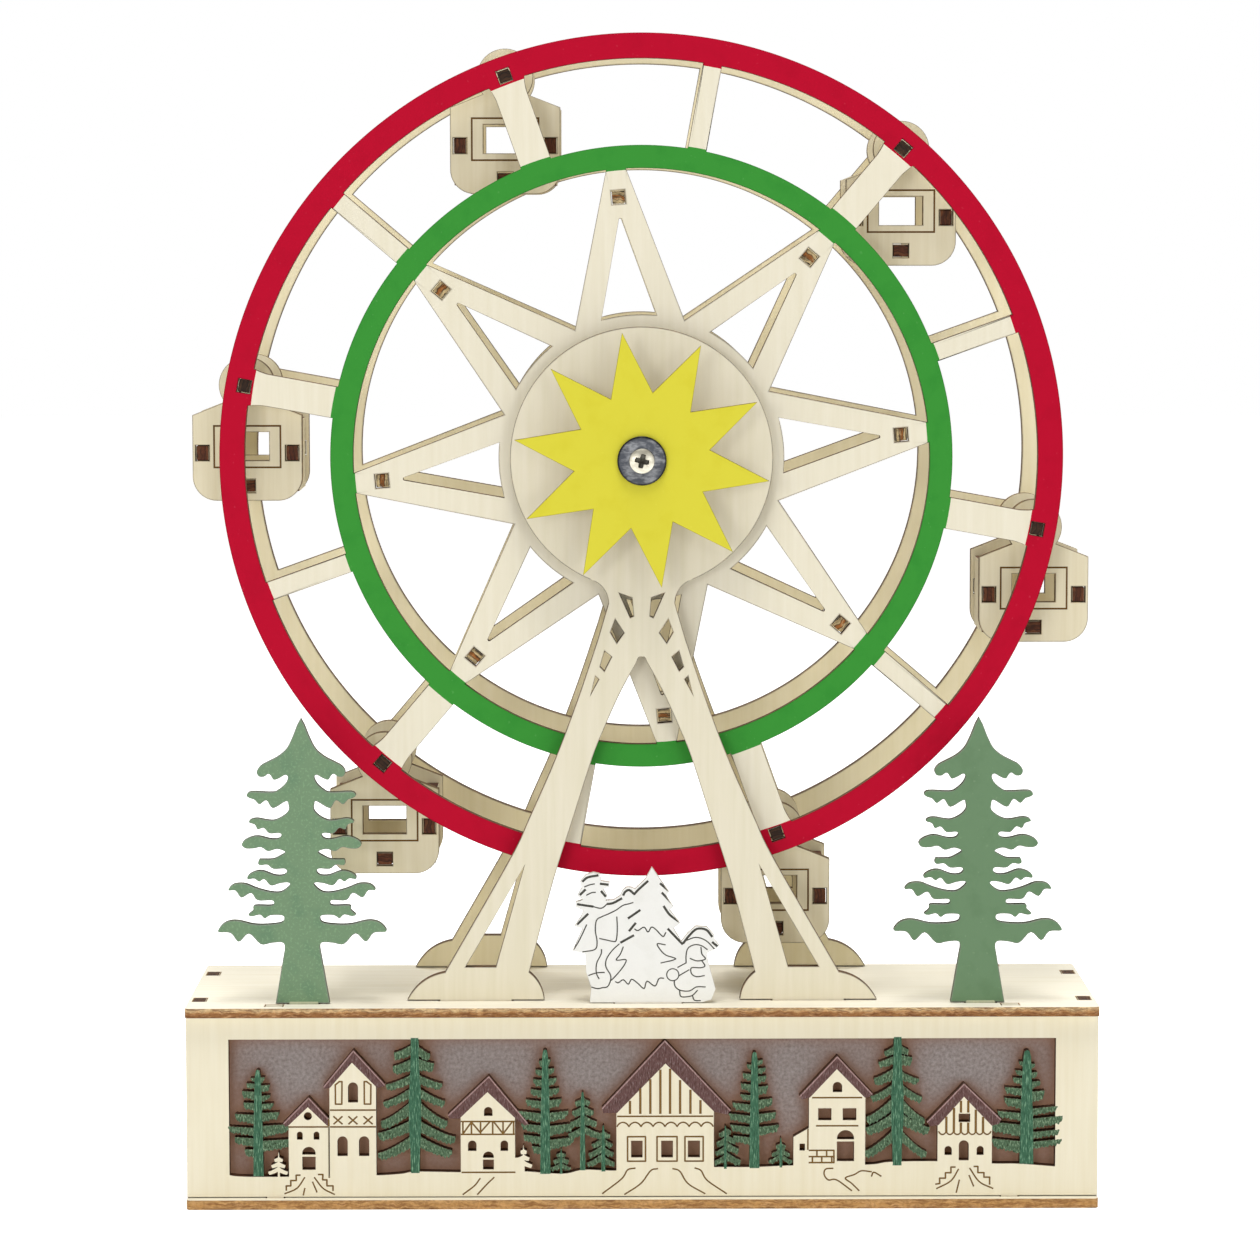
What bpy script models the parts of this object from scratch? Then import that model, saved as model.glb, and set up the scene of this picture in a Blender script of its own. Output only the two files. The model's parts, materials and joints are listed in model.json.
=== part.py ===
"""A wooden ferris wheel decoration: a laser-cut plywood wheel with six hanging gondolas on two A-frames, standing on a
lit box whose front panel is cut out as a village. All sizes are in millimetres, and MM turns them into Blender's
metres. X is to the right, Y to the rear and Z up. The origin is at the middle of the box's underside."""

import math

import bmesh
import bpy
from mathutils import Vector
from mathutils.geometry import delaunay_2d_cdt

MM = 0.001

# Sheets and fits
PLY = 4.0  # wheel, supports, panels and gondolas
BOARD = 3.2  # the box's top and bottom
TREE_PLY = 3.0
GLUE_GAP = 0.3  # between pieces that are glued or pressed together
RUNNING_GAP = 0.4  # round what turns or slides

# Box
BOX_WIDTH = 300.0
BOX_DEPTH = 85.0
BOARD_CORNER = 1.5
PANEL_HEIGHT = 60.0
FRONT_SETBACK = 3.8  # from the boards' front edge to the front panel
BACK_SETBACK = 1.0
SIDE_SETBACK = 1.6
TAB_LENGTH = 5.5  # of the front and back panels' tabs through the boards
TAB_INSET = 29.0  # from the boards' ends to the middle of each of those tabs
SIDE_TAB_LENGTH = 7.0
SIDE_TAB_INSET = 17.0  # from the boards' front and rear edges

# Village window in the front panel; heights are above the panel's lower edge
WINDOW_POST = 14.0  # beside the window at each end
WINDOW_HEADER = 7.5  # above it
WINDOW_SILL = 1.5
SNOW_LEFT = 7.8
SNOW_MIDDLE = 9.35
SNOW_RIGHT = 12.1

# Wheel
RIM_RADIUS = 138.5
RIM_WIDTH = 8.25
RING_WIDTH = 7.5
HUB_RADIUS = 46.9
STAR_POINTS = 8
STAR_FIRST_ANGLE = 95.0
STAR_TIP_WIDTH = 6.5
STAR_VALLEY_OUTSIDE_HUB = 0.3
STAR_SLOT_HALF_ANGLE = 11.8  # of the foot of the slot in each point, seen from the axle
STAR_SLOT_INSET = 6.7  # from the middle of the star's bar to the end of that slot
STAR_BAR_INSET = 9.15  # from the green ring's inner edge to the middle of the star's bar
STAR_BAR_ROOM = 4.9  # between the star's bars and the gondolas that swing past them
GONDOLA_COUNT = 6
FIRST_PIVOT_ANGLE = 49.7
PIVOT_INSET = 6.25  # from the rim's edge to the gondolas' pivots
DECK_ROOM = 8.85  # between the deck and the lowest gondola
WIDE_SPOKE = 10.4
NARROW_SPOKE = 6.2
SPOKE_FLARE = 1.25  # added to each side of a wide spoke at the rim
SPOKE_FLARE_LENGTH = 4.0
BAR_SIDE = 4.0  # square bars that join the two plates
BAR_RECESS = 0.8  # of a bar's end behind the plate's face

# Supports
SUPPORT_FRONT_OFFSET = 13.9  # from the boards' front edge
SUPPORT_REAR_OFFSET = 5.5  # from the boards' rear edge to the rear support's front
SUPPORT_DISC_RADIUS = 43.0
LEG_NECK = 10.9  # half the width where the legs leave the disc
LEG_NECK_DROP = 47.5
LEG_OUTER_FOOT = 65.1
LEG_INNER_FOOT = 37.3
# How far a leg's edges run inside the straight lines from its top to its ankle: share of the way down, and distance
LEG_OUTER_WAIST = [(0.1, 1.8), (0.26, 3.9), (0.42, 5.2), (0.58, 5.25), (0.69, 4.85)]
LEG_INNER_WAIST = [(0.06, 1.2), (0.12, 2.2), (0.22, 3.25), (0.31, 3.7), (0.5, 3.15), (0.7, 2.55)]
CROTCH_DROP = 64.9
CROTCH_RADIUS = 1.5
FOOT_HEIGHT = 9.5
FOOT_OUTER_TIP = 77.6
FOOT_INNER_TIP = 32.3
FOOT_BULGE = 1.9  # of the foot's outer edge, and of its inner edge
INSTEP_BULGE = 1.1
FOOT_TAB_LENGTH = 24.0
FRONT_CLEARANCE = 1.6  # between the front support and the wheel
REAR_CLEARANCE = 1.8

# Axle
AXLE_RADIUS = 5.0
SPACER_RADIUS = 8.0
THRUST_WASHER_RADIUS = 9.0
STAR_STANDOFF = 9.4  # from the front support to the yellow star
STAR_PLY = 3.0
STAR_KNOB_POINTS = 10
STAR_KNOB_TIP_RADIUS = 41.9
STAR_KNOB_VALLEY_RADIUS = 22.3
STAR_KNOB_FIRST_ANGLE = 98.8
WASHER_RADIUS = 8.0
WASHER_THICKNESS = 1.2
SCREW_SHANK_RADIUS = 2.0
SCREW_HEAD_RADIUS = 4.0
SCREW_HEAD_HEIGHT = 1.5
SCREW_DEPTH = 12.0  # of the shank in the axle
SCREW_POINT = 2.0
AXLE_STANDS_PROUD = 0.6  # behind the rear support

# Gondolas, measured from their pivot
LOBE_RADIUS = 9.2
GONDOLA_HALF_WIDTH = 18.1
SHOULDER_DROP = 9.9
ROOF_SLOPE = 0.39
GONDOLA_DROP = 38.2
GONDOLA_CORNER = 8.0
GONDOLA_SIDE_ROOM = 6.1  # between a gondola and each of the wheel's plates
CABIN_WINDOW = (14.4, 9.4)
CABIN_WINDOW_DROP = 20.2
WALL_INSET = 3.26  # from the plate's edge to the middle of each side wall
WALL_TOP_DROP = 12.0
WALL_TENON_HEIGHT = 4.6
WALL_TENON_DROP = 22.4
FLOOR_INSET = 4.9  # from the plate's lower edge to the middle of the floor
FLOOR_TENON_LENGTH = 4.6

# Deck figures
TREE_INSET = 38.5  # from the boards' ends to the middle of each fir
TREE_FRONT_OFFSET = 8.5  # from the boards' front edge
TREE_TAB_LENGTH = 10.0
SCENE_TAB_LENGTH = 22.0
SCENE_MIDDLE = 2.0

# Light
DIFFUSER_THICKNESS = 0.6
DIFFUSER_MARGIN = 5.0  # that it laps the window all round
CELL_RADIUS = 7.1
CELL_LENGTH = 49.0
CELL_NUB = 1.5
CELL_NUB_RADIUS = 2.6
CELL_ROOM = 0.8  # between the two cells
TRAY_WALL = 1.6
TRAY_END_ROOM = 1.6  # for the contacts at each end of a cell
TRAY_FOOT = 2.4  # between the tray and the bottom board
SWITCH_TRAVEL = 4.0
SWITCH_KNOB = (5.0, 4.0)
SWITCH_FLANGE = 1.6  # that the knob's foot is wider on each side
SWITCH_PROUD = 2.5
SWITCH_POCKET_DEPTH = 3.2
LED_STRIP_INSET = 24.4  # from the side panels to the strip's ends
LED_STRIP_HEIGHT = 8.0
LED_STRIP_THICKNESS = 1.2
LED_COUNT = 6
LED_SIZE = (3.5, 2.8)
LED_THICKNESS = 1.6

# Heights and depths that follow from the sizes above
PANEL_BOTTOM = BOARD + GLUE_GAP
PANEL_TOP = PANEL_BOTTOM + PANEL_HEIGHT
DECK = PANEL_TOP + GLUE_GAP + BOARD
PIVOT_RADIUS = RIM_RADIUS - PIVOT_INSET
AXLE_HEIGHT = PIVOT_RADIUS + GONDOLA_DROP + DECK_ROOM  # above the deck
AXLE_Z = DECK + AXLE_HEIGHT
GONDOLA_CORNER_REACH = math.hypot(GONDOLA_HALF_WIDTH - GONDOLA_CORNER, GONDOLA_DROP - GONDOLA_CORNER)
GONDOLA_REACH = GONDOLA_CORNER_REACH + GONDOLA_CORNER
STAR_BAR_RADIUS = PIVOT_RADIUS - GONDOLA_REACH - STAR_BAR_ROOM - BAR_SIDE / 2
STAR_SLOT_RADIUS = STAR_BAR_RADIUS - STAR_SLOT_INSET
RING_RADIUS = STAR_BAR_RADIUS + STAR_BAR_INSET + RING_WIDTH
FRONT_EDGE = -BOX_DEPTH / 2
REAR_EDGE = BOX_DEPTH / 2
FRONT_PANEL_Y = FRONT_EDGE + FRONT_SETBACK
BACK_PANEL_Y = REAR_EDGE - BACK_SETBACK - PLY
SIDE_PANEL_X = BOX_WIDTH / 2 - SIDE_SETBACK
TAB_OFFSET = BOX_WIDTH / 2 - TAB_INSET
SIDE_TAB_OFFSET = BOX_DEPTH / 2 - SIDE_TAB_INSET
TREE_OFFSET = BOX_WIDTH / 2 - TREE_INSET
WINDOW_WIDTH = BOX_WIDTH - 2 * WINDOW_POST
WINDOW_TOP = PANEL_HEIGHT - WINDOW_HEADER
LED_STRIP_LENGTH = 2 * (SIDE_PANEL_X - PLY - LED_STRIP_INSET)
CELL_PITCH = 2 * CELL_RADIUS + CELL_ROOM
FRONT_SUPPORT_Y = FRONT_EDGE + SUPPORT_FRONT_OFFSET
REAR_SUPPORT_Y = REAR_EDGE - SUPPORT_REAR_OFFSET
FRONT_WHEEL_Y = FRONT_SUPPORT_Y + PLY + FRONT_CLEARANCE
REAR_WHEEL_Y = REAR_SUPPORT_Y - REAR_CLEARANCE - PLY
GONDOLA_Y = FRONT_WHEEL_Y + PLY + GONDOLA_SIDE_ROOM
GONDOLA_DEPTH = REAR_WHEEL_Y - GONDOLA_SIDE_ROOM - GONDOLA_Y
WALL_OFFSET = GONDOLA_HALF_WIDTH - WALL_INSET
FLOOR_DROP = GONDOLA_DROP - FLOOR_INSET
TREE_Y = FRONT_EDGE + TREE_FRONT_OFFSET
STAR_KNOB_Y = FRONT_SUPPORT_Y - STAR_STANDOFF - STAR_PLY
AXLE_BORE = AXLE_RADIUS + GLUE_GAP
AXLE_RUNNING_BORE = AXLE_RADIUS + RUNNING_GAP
PIVOT_BORE = BAR_SIDE / math.sqrt(2) + RUNNING_GAP
SCREW_BORE = SCREW_SHANK_RADIUS + GLUE_GAP
TRAY_LENGTH = CELL_LENGTH + CELL_NUB + 2 * TRAY_END_ROOM
TRAY_HEIGHT = CELL_PITCH + 2 * CELL_RADIUS + 2 * RUNNING_GAP
TRAY_POCKET_DEPTH = 2 * CELL_RADIUS + 2 * RUNNING_GAP
TRAY_Z = BOARD + TRAY_FOOT + TRAY_WALL + TRAY_HEIGHT / 2
SWITCH_FOOT = (SWITCH_KNOB[0] + 2 * SWITCH_FLANGE, SWITCH_KNOB[1] + 2 * SWITCH_FLANGE)
SWITCH_POCKET_LENGTH = SWITCH_FOOT[0] + SWITCH_TRAVEL + 2 * RUNNING_GAP
SWITCH_MIDDLE = TRAY_LENGTH / 2 + 2 * TRAY_WALL + SWITCH_POCKET_LENGTH / 2

# How a flat outline is turned: its depth always grows away from the side that its name gives
FACING_FRONT = (math.pi / 2, 0, 0)  # outline in X and Z
FACING_UP = (0, 0, 0)  # outline in X and Y
FACING_RIGHT = (math.pi / 2, 0, math.pi / 2)  # outline in Y and Z


# Outlines

def rectangle(left, right, low, high):
    return [(left, low), (right, low), (right, high), (left, high)]


def centred(width, height, x=0.0, y=0.0):
    return rectangle(x - width / 2, x + width / 2, y - height / 2, y + height / 2)


def polar(radius, degrees):
    return (radius * math.cos(math.radians(degrees)), radius * math.sin(math.radians(degrees)))


def arc(radius, start, end, steps, centre=(0.0, 0.0)):
    """Points on a circle from start to end, in degrees, both ends included."""
    found = []
    for i in range(steps + 1):
        x, y = polar(radius, start + (end - start) * i / steps)
        found.append((centre[0] + x, centre[1] + y))
    return found


def circle(radius, steps=32, centre=(0.0, 0.0)):
    return arc(radius, 0, 360, steps, centre)[:-1]


def bulged(start, end, rise, steps=5):
    """A shallow curve from start to end that rises to the left of the way by rise at its middle."""
    (x0, y0), (x1, y1) = start, end
    length = math.hypot(x1 - x0, y1 - y0)
    found = []
    for i in range(steps + 1):
        t = i / steps
        lift = 4 * rise * t * (1 - t) / length
        found.append((x0 + (x1 - x0) * t - (y1 - y0) * lift, y0 + (y1 - y0) * t + (x1 - x0) * lift))
    return found


def turned_by(outline, degrees):
    c, s = math.cos(math.radians(degrees)), math.sin(math.radians(degrees))
    return [(c * x - s * y, s * x + c * y) for x, y in outline]


def moved(outline, x, y):
    return [(px + x, py + y) for px, py in outline]


def mirrored(outline):
    return [(-x, y) for x, y in outline]


def both_sides(half):
    """A whole outline from its right half, which runs from the top to the bottom."""
    return half + mirrored(half[::-1])


def anticlockwise(outline):
    area = sum(x0 * y1 - x1 * y0 for (x0, y0), (x1, y1) in zip(outline, outline[1:] + outline[:1]))
    return outline if area > 0 else outline[::-1]


def rounded_rectangle(width, height, radius):
    found = []
    for i, (sx, sy) in enumerate([(1, 1), (-1, 1), (-1, -1), (1, -1)]):
        corner = (sx * (width / 2 - radius), sy * (height / 2 - radius))
        found += arc(radius, 90 * i, 90 * i + 90, 3, corner)
    return found


# Solids

def material(name, colour, roughness=0.6, metallic=0.0):
    """A plain material; the colour is an sRGB hex number."""
    made = bpy.data.materials.get(name) or bpy.data.materials.new(name)
    made.use_nodes = True
    shader = made.node_tree.nodes["Principled BSDF"]
    channels = [(colour >> shift & 255) / 255 for shift in (16, 8, 0)]
    linear = [c / 12.92 if c <= 0.04045 else ((c + 0.055) / 1.055) ** 2.4 for c in channels]
    shader.inputs["Base Color"].default_value = (*linear, 1)
    shader.inputs["Roughness"].default_value = roughness
    shader.inputs["Metallic"].default_value = metallic
    return made


def finish(name, mesh, finish_material, location, rotation, parent=None):
    mesh.materials.append(finish_material)
    mesh.shade_smooth()
    mesh.set_sharp_from_angle(angle=math.radians(30))
    return placed(name, mesh, location, rotation, parent)


def placed(name, mesh, location, rotation, parent=None):
    """An object of this mesh; a parent's place and turn come on top of the given ones."""
    made = bpy.data.objects.new(name, mesh)
    made.location = [c * MM for c in location]
    made.rotation_euler = rotation
    made.parent = parent
    bpy.context.scene.collection.objects.link(made)
    return made


def carved_mesh(name, steps):
    """The solid that a list of outlines leaves. Each step is an outline with the (near, far) depths of the material
    inside it, or with None where it is cut away, and a later step goes over the earlier ones."""
    points, loops = [], []
    for outline, _ in steps:
        loops.append(list(range(len(points), len(points) + len(outline))))
        points += [Vector(p) for p in anticlockwise(outline)]
    corners, _, cells, _, _, owners = delaunay_2d_cdt(points, [], loops, 1, 1e-4, True)
    spans, neighbour = {}, {}
    for cell, owner in zip(cells, owners):
        span = steps[max(owner)][1] if owner else None
        if span:
            spans[tuple(cell)] = span
            for start, end in zip(cell, cell[1:] + cell[:1]):
                neighbour[start, end] = span
    depths = {}
    for cell, span in spans.items():
        for corner in cell:
            depths.setdefault(corner, set()).update(span)
    shape = bmesh.new()
    made = {}

    def vertex(corner, depth):
        if (corner, depth) not in made:
            made[corner, depth] = shape.verts.new((*(c * MM for c in corners[corner]), -depth * MM))
        return made[corner, depth]

    def wall(start, end, near, far):
        down = sorted(d for d in depths[start] if near <= d <= far)
        up = sorted((d for d in depths[end] if near <= d <= far), reverse=True)
        shape.faces.new([vertex(start, d) for d in down] + [vertex(end, d) for d in up])

    for cell, (near, far) in spans.items():
        shape.faces.new([vertex(c, near) for c in cell])
        shape.faces.new([vertex(c, far) for c in reversed(cell)])
        for start, end in zip(cell, cell[1:] + cell[:1]):
            other = neighbour.get((end, start))
            if other is None:
                wall(start, end, near, far)
                continue
            if near < other[0]:
                wall(start, end, near, other[0])
            if far > other[1]:
                wall(start, end, other[1], far)
    mesh = bpy.data.meshes.new(name)
    shape.to_mesh(mesh)
    shape.free()
    return mesh


def carved(name, steps, finish_material, location, rotation=FACING_FRONT, parent=None):
    return finish(name, carved_mesh(name, steps), finish_material, location, rotation, parent)


def turned(name, profile, finish_material, location, rotation=FACING_FRONT, steps=24, parent=None):
    """A turned solid. The profile holds (radius, depth) pairs from the axis round to the axis again, or a closed loop
    where it never meets the axis."""
    shape = bmesh.new()
    rings = []
    for radius, depth in profile:
        if radius:
            ring = [shape.verts.new((x * MM, y * MM, -depth * MM)) for x, y in circle(radius, steps)]
        else:
            ring = [shape.verts.new((0, 0, -depth * MM))] * steps
        rings.append(ring)
    pairs = list(zip(rings, rings[1:]))
    if profile[0][0]:
        pairs.append((rings[-1], rings[0]))
    for first, second in pairs:
        for i in range(steps):
            j = (i + 1) % steps
            corners = [first[i], first[j], second[j], second[i]]
            shape.faces.new(list(dict.fromkeys(corners)))
    bmesh.ops.recalc_face_normals(shape, faces=shape.faces)
    mesh = bpy.data.meshes.new(name)
    shape.to_mesh(mesh)
    shape.free()
    return finish(name, mesh, finish_material, location, rotation, parent)


def tube(outer, inner, length):
    return [(inner, 0), (outer, 0), (outer, length), (inner, length)]


def pivot(name, location, parent=None):
    """An empty on a joint's axis."""
    made = bpy.data.objects.new(name, None)
    made.location = [c * MM for c in location]
    made.parent = parent
    bpy.context.scene.collection.objects.link(made)
    return made


# Box

def slots_in_board(with_deck_slots):
    """Cut-outs for what passes through a board, as outlines in X and Y."""
    fit = 2 * GLUE_GAP
    figure_y = TREE_Y + TREE_PLY / 2
    found = []
    for side in (-1, 1):
        for y in (FRONT_PANEL_Y, BACK_PANEL_Y):
            found.append(centred(TAB_LENGTH + fit, PLY + fit, side * TAB_OFFSET, y + PLY / 2))
        for end in (-1, 1):
            x = side * (SIDE_PANEL_X - PLY / 2)
            found.append(centred(PLY + fit, SIDE_TAB_LENGTH + fit, x, end * SIDE_TAB_OFFSET))
        if with_deck_slots:
            found.append(centred(TREE_TAB_LENGTH + fit, TREE_PLY + fit, side * TREE_OFFSET, figure_y))
            foot = side * (FOOT_OUTER_TIP + FOOT_INNER_TIP) / 2
            for y in (FRONT_SUPPORT_Y, REAR_SUPPORT_Y):
                found.append(centred(FOOT_TAB_LENGTH + fit, PLY + fit, foot, y + PLY / 2))
    if with_deck_slots:
        found.append(centred(SCENE_TAB_LENGTH + fit, TREE_PLY + fit, SCENE_MIDDLE, figure_y))
    return found


def panel_outlines(half_length, tab_length, tab_offset):
    """A panel with a tab at each end of its upper and lower edges; its heights are in the world."""
    found = [rectangle(-half_length, half_length, PANEL_BOTTOM, PANEL_TOP)]
    for side in (-1, 1):
        left, right = side * tab_offset - tab_length / 2, side * tab_offset + tab_length / 2
        found.append(rectangle(left, right, 0, PANEL_BOTTOM + 1))
        found.append(rectangle(left, right, PANEL_TOP - 1, DECK))
    return found


def fir(x, tip, half_width, foot, tiers):
    """A village fir: a zigzag of tiers under its tip, on a short trunk; heights are above the panel's lower edge."""
    trunk = max(FIR_TRUNK * half_width, FIR_THINNEST_TRUNK)
    drop = (1 - FIR_TRUNK_LENGTH) * (tip - foot) / tiers
    half = []
    for i in range(tiers):
        reach = half_width * (i + 1) / tiers
        low = tip - drop * (i + 1)
        half.append((reach, low))
        half.append((max(FIR_NOTCH * reach, trunk), low + FIR_TIER_RISE * drop))
    half[-1] = (trunk, half[-1][1])
    half.append((trunk, foot - ROOT))
    return moved(both_sides(half) + [(0, tip)], x, 0)


def house(left, right, eaves, roof_left, roof_right, roof_end, ridge, foot):
    """A gable-fronted house with an overhanging roof; heights are above the panel's lower edge."""
    return [
        (left, foot), (right, foot), (right, eaves), (roof_right, roof_end - ROOF_EDGE),
        (roof_right, roof_end), ((roof_left + roof_right) / 2, ridge), (roof_left, roof_end),
        (roof_left, roof_end - ROOF_EDGE), (left, eaves),
    ]


# The village is drawn for a window of this width and top, and is stretched to the real one
VILLAGE_WIDTH, VILLAGE_TOP = 272.0, 52.5
ROOT = 2.0  # that houses and firs reach down into the snow
ROOF_EDGE = 3.0
# Of a fir: its trunk's half width and the notch under a tier as shares of its reach, its bare trunk as a share of its
# height, and how far each tier's underside rises as a share of the tier
FIR_TRUNK, FIR_NOTCH, FIR_TRUNK_LENGTH, FIR_TIER_RISE = 0.1, 0.45, 0.18, 0.25
FIR_THINNEST_TRUNK = 0.5
# Each fir's middle, tip height, half width and tiers
FIRS = [
    (-126.7, 42.5, 9.3, 5), (-74.6, 53.5, 12.6, 7), (-32.4, 49.3, 9.5, 6), (-26.8, 16.2, 3.0, 2),
    (-19.7, 35.6, 7.0, 5), (-13.1, 24.3, 4.2, 3), (27.4, 22.8, 3.6, 3), (37.2, 47.3, 8.4, 6), (45.9, 19.1, 2.8, 2),
    (84.0, 53.5, 10.3, 7), (125.8, 48.2, 10.6, 6), (-119.8, 14.4, 2.4, 2), (-39.2, 16.7, 2.4, 2),
]
# Each house's walls, eaves, roof ends, roof end height and ridge
HOUSES = [
    (-116.4, -103.2, 24.2, -118.0, -102.0, 26.5, 34.0), (-102.9, -87.6, 36.5, -105.0, -85.1, 37.4, 48.7),
    (-59.8, -41.7, 25.4, -63.7, -38.3, 27.5, 40.7), (-8.6, 23.5, 27.2, -13.6, 29.2, 29.0, 53.0),
    (54.9, 73.4, 33.3, 51.8, 77.0, 33.5, 46.9), (97.4, 115.2, 23.0, 94.6, 117.7, 25.0, 37.8),
]
ANNEX = (49.6, 55.5, 22.4)  # the lean-to at the fifth house's left: its walls and height


def village_outlines():
    """What stands in the window: the snow, then firs and houses rising from it."""
    end = VILLAGE_WIDTH / 2 + 1
    sill = WINDOW_SILL - 1
    found = [[(-end, sill), (end, sill), (end, SNOW_RIGHT), (0, SNOW_MIDDLE), (-end, SNOW_LEFT)]]
    for x, tip, half_width, tiers in FIRS:
        foot = SNOW_LEFT + (SNOW_RIGHT - SNOW_LEFT) * (x / VILLAGE_WIDTH + 0.5)
        found.append(fir(x, tip, half_width, foot, tiers))
    for left, right, eaves, roof_left, roof_right, roof_end, ridge in HOUSES:
        found.append(house(left, right, eaves, roof_left, roof_right, roof_end, ridge, SNOW_LEFT - ROOT))
    found.append(rectangle(ANNEX[0], ANNEX[1], SNOW_LEFT - ROOT, ANNEX[2]))
    wide, tall = WINDOW_WIDTH / VILLAGE_WIDTH, WINDOW_TOP / VILLAGE_TOP
    return [[(x * wide, PANEL_BOTTOM + y * tall) for x, y in outline] for outline in found]


def make_box():
    ply = material("birch_plywood", 0xE9DFC4)
    sheet = (0, BOARD)
    for name, top, deck_slots in (("bottom_board", BOARD, False), ("top_board", DECK, True)):
        steps = [(rounded_rectangle(BOX_WIDTH, BOX_DEPTH, BOARD_CORNER), sheet)]
        steps += [(slot, None) for slot in slots_in_board(deck_slots)]
        carved(name, steps, ply, (0, 0, top), FACING_UP)

    sheet = (0, PLY)
    half = WINDOW_WIDTH / 2
    steps = [(outline, sheet) for outline in panel_outlines(BOX_WIDTH / 2, TAB_LENGTH, TAB_OFFSET)]
    steps.append((moved(rectangle(-half, half, WINDOW_SILL, WINDOW_TOP), 0, PANEL_BOTTOM), None))
    steps += [(outline, sheet) for outline in village_outlines()]
    carved("front_panel", steps, ply, (0, FRONT_PANEL_Y, 0))

    steps = [(outline, sheet) for outline in panel_outlines(BOX_WIDTH / 2, TAB_LENGTH, TAB_OFFSET)]
    steps.append((centred(TRAY_LENGTH, TRAY_HEIGHT, 0, TRAY_Z), None))
    slot = (SWITCH_KNOB[0] + SWITCH_TRAVEL + 2 * RUNNING_GAP, SWITCH_KNOB[1] + 2 * RUNNING_GAP)
    steps.append((centred(*slot, SWITCH_MIDDLE, TRAY_Z), None))
    carved("back_panel", steps, ply, (0, BACK_PANEL_Y, 0))

    front, rear = FRONT_PANEL_Y + PLY + GLUE_GAP, BACK_PANEL_Y - GLUE_GAP
    middle = (front + rear) / 2
    for name, x in (("left_side_panel", PLY - SIDE_PANEL_X), ("right_side_panel", SIDE_PANEL_X)):
        steps = [(rectangle(front, rear, PANEL_BOTTOM, PANEL_TOP), sheet)]
        for outline in panel_outlines(abs(middle), SIDE_TAB_LENGTH, SIDE_TAB_OFFSET)[1:]:
            steps.append((outline, sheet))
        carved(name, steps, ply, (x, 0, 0), FACING_RIGHT)


def make_light():
    """The diffuser behind the village, the LED strip, and the battery tray in the back panel."""
    frosted = material("frosted_film", 0x847B7D, 0.5)
    plastic = material("black_plastic", 0x1B1B1D, 0.4)
    board = material("led_board", 0xF2F2EC, 0.4)
    cell = material("battery_wrap", 0x9A9C9E, 0.35, 0.6)

    low, high = SNOW_LEFT - DIFFUSER_MARGIN, WINDOW_TOP + DIFFUSER_MARGIN
    outline = rectangle(-WINDOW_WIDTH / 2 - DIFFUSER_MARGIN, WINDOW_WIDTH / 2 + DIFFUSER_MARGIN, low, high)
    place = (0, FRONT_PANEL_Y + PLY + GLUE_GAP, PANEL_BOTTOM)
    carved("diffuser_sheet", [(outline, (0, DIFFUSER_THICKNESS))], frosted, place)

    strip_top = PANEL_TOP - LED_STRIP_HEIGHT
    steps = [(centred(LED_STRIP_LENGTH, LED_STRIP_HEIGHT), (0, LED_STRIP_THICKNESS))]
    for i in range(LED_COUNT):
        x = LED_STRIP_LENGTH * ((i + 0.5) / LED_COUNT - 0.5)
        steps.append((centred(*LED_SIZE, x), (-LED_THICKNESS, LED_STRIP_THICKNESS)))
    carved("led_strip", steps, board, (0, BACK_PANEL_Y - GLUE_GAP - LED_STRIP_THICKNESS, strip_top))

    rim = BACK_PANEL_Y - GLUE_GAP
    depth = TRAY_POCKET_DEPTH + TRAY_WALL
    left, right = -TRAY_LENGTH / 2 - TRAY_WALL, SWITCH_MIDDLE + SWITCH_POCKET_LENGTH / 2 + TRAY_WALL
    low, high = -TRAY_HEIGHT / 2 - TRAY_WALL, TRAY_HEIGHT / 2 + TRAY_WALL
    pocket = (SWITCH_POCKET_LENGTH, SWITCH_FOOT[1] + 2 * RUNNING_GAP)
    steps = [
        (rectangle(left, right, low, high), (0, depth)),
        (centred(TRAY_LENGTH, TRAY_HEIGHT), (0, TRAY_WALL)),
        (centred(*pocket, SWITCH_MIDDLE), (0, depth - SWITCH_POCKET_DEPTH)),
    ]
    carved("battery_box", steps, plastic, (0, rim - depth, TRAY_Z))

    wrap = [
        (0, -CELL_NUB), (CELL_NUB_RADIUS, -CELL_NUB), (CELL_NUB_RADIUS, 0), (CELL_RADIUS, 0),
        (CELL_RADIUS, CELL_LENGTH), (0, CELL_LENGTH),
    ]
    cell_y = rim - RUNNING_GAP - CELL_RADIUS
    for name, side in (("battery_1", 1), ("battery_2", -1)):
        place = (side * (TRAY_LENGTH / 2 - TRAY_END_ROOM - CELL_NUB), cell_y, TRAY_Z + side * CELL_PITCH / 2)
        turned(name, wrap, cell, place, (0, side * math.pi / 2, 0), 16)

    fit = 2 * GLUE_GAP
    cover = [(centred(TRAY_LENGTH - fit, TRAY_HEIGHT - fit), (0, PLY))]
    carved("battery_cover", cover, material("birch_plywood", 0xE9DFC4), (0, BACK_PANEL_Y, TRAY_Z))

    foot = SWITCH_POCKET_DEPTH - RUNNING_GAP
    steps = [(centred(*SWITCH_FOOT), (-foot, 0)), (centred(*SWITCH_KNOB), (-foot, PLY + GLUE_GAP + SWITCH_PROUD))]
    place = (SWITCH_MIDDLE - SWITCH_TRAVEL / 2, rim, TRAY_Z)
    carved("switch_knob", steps, plastic, place)


# Deck figures

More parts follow.
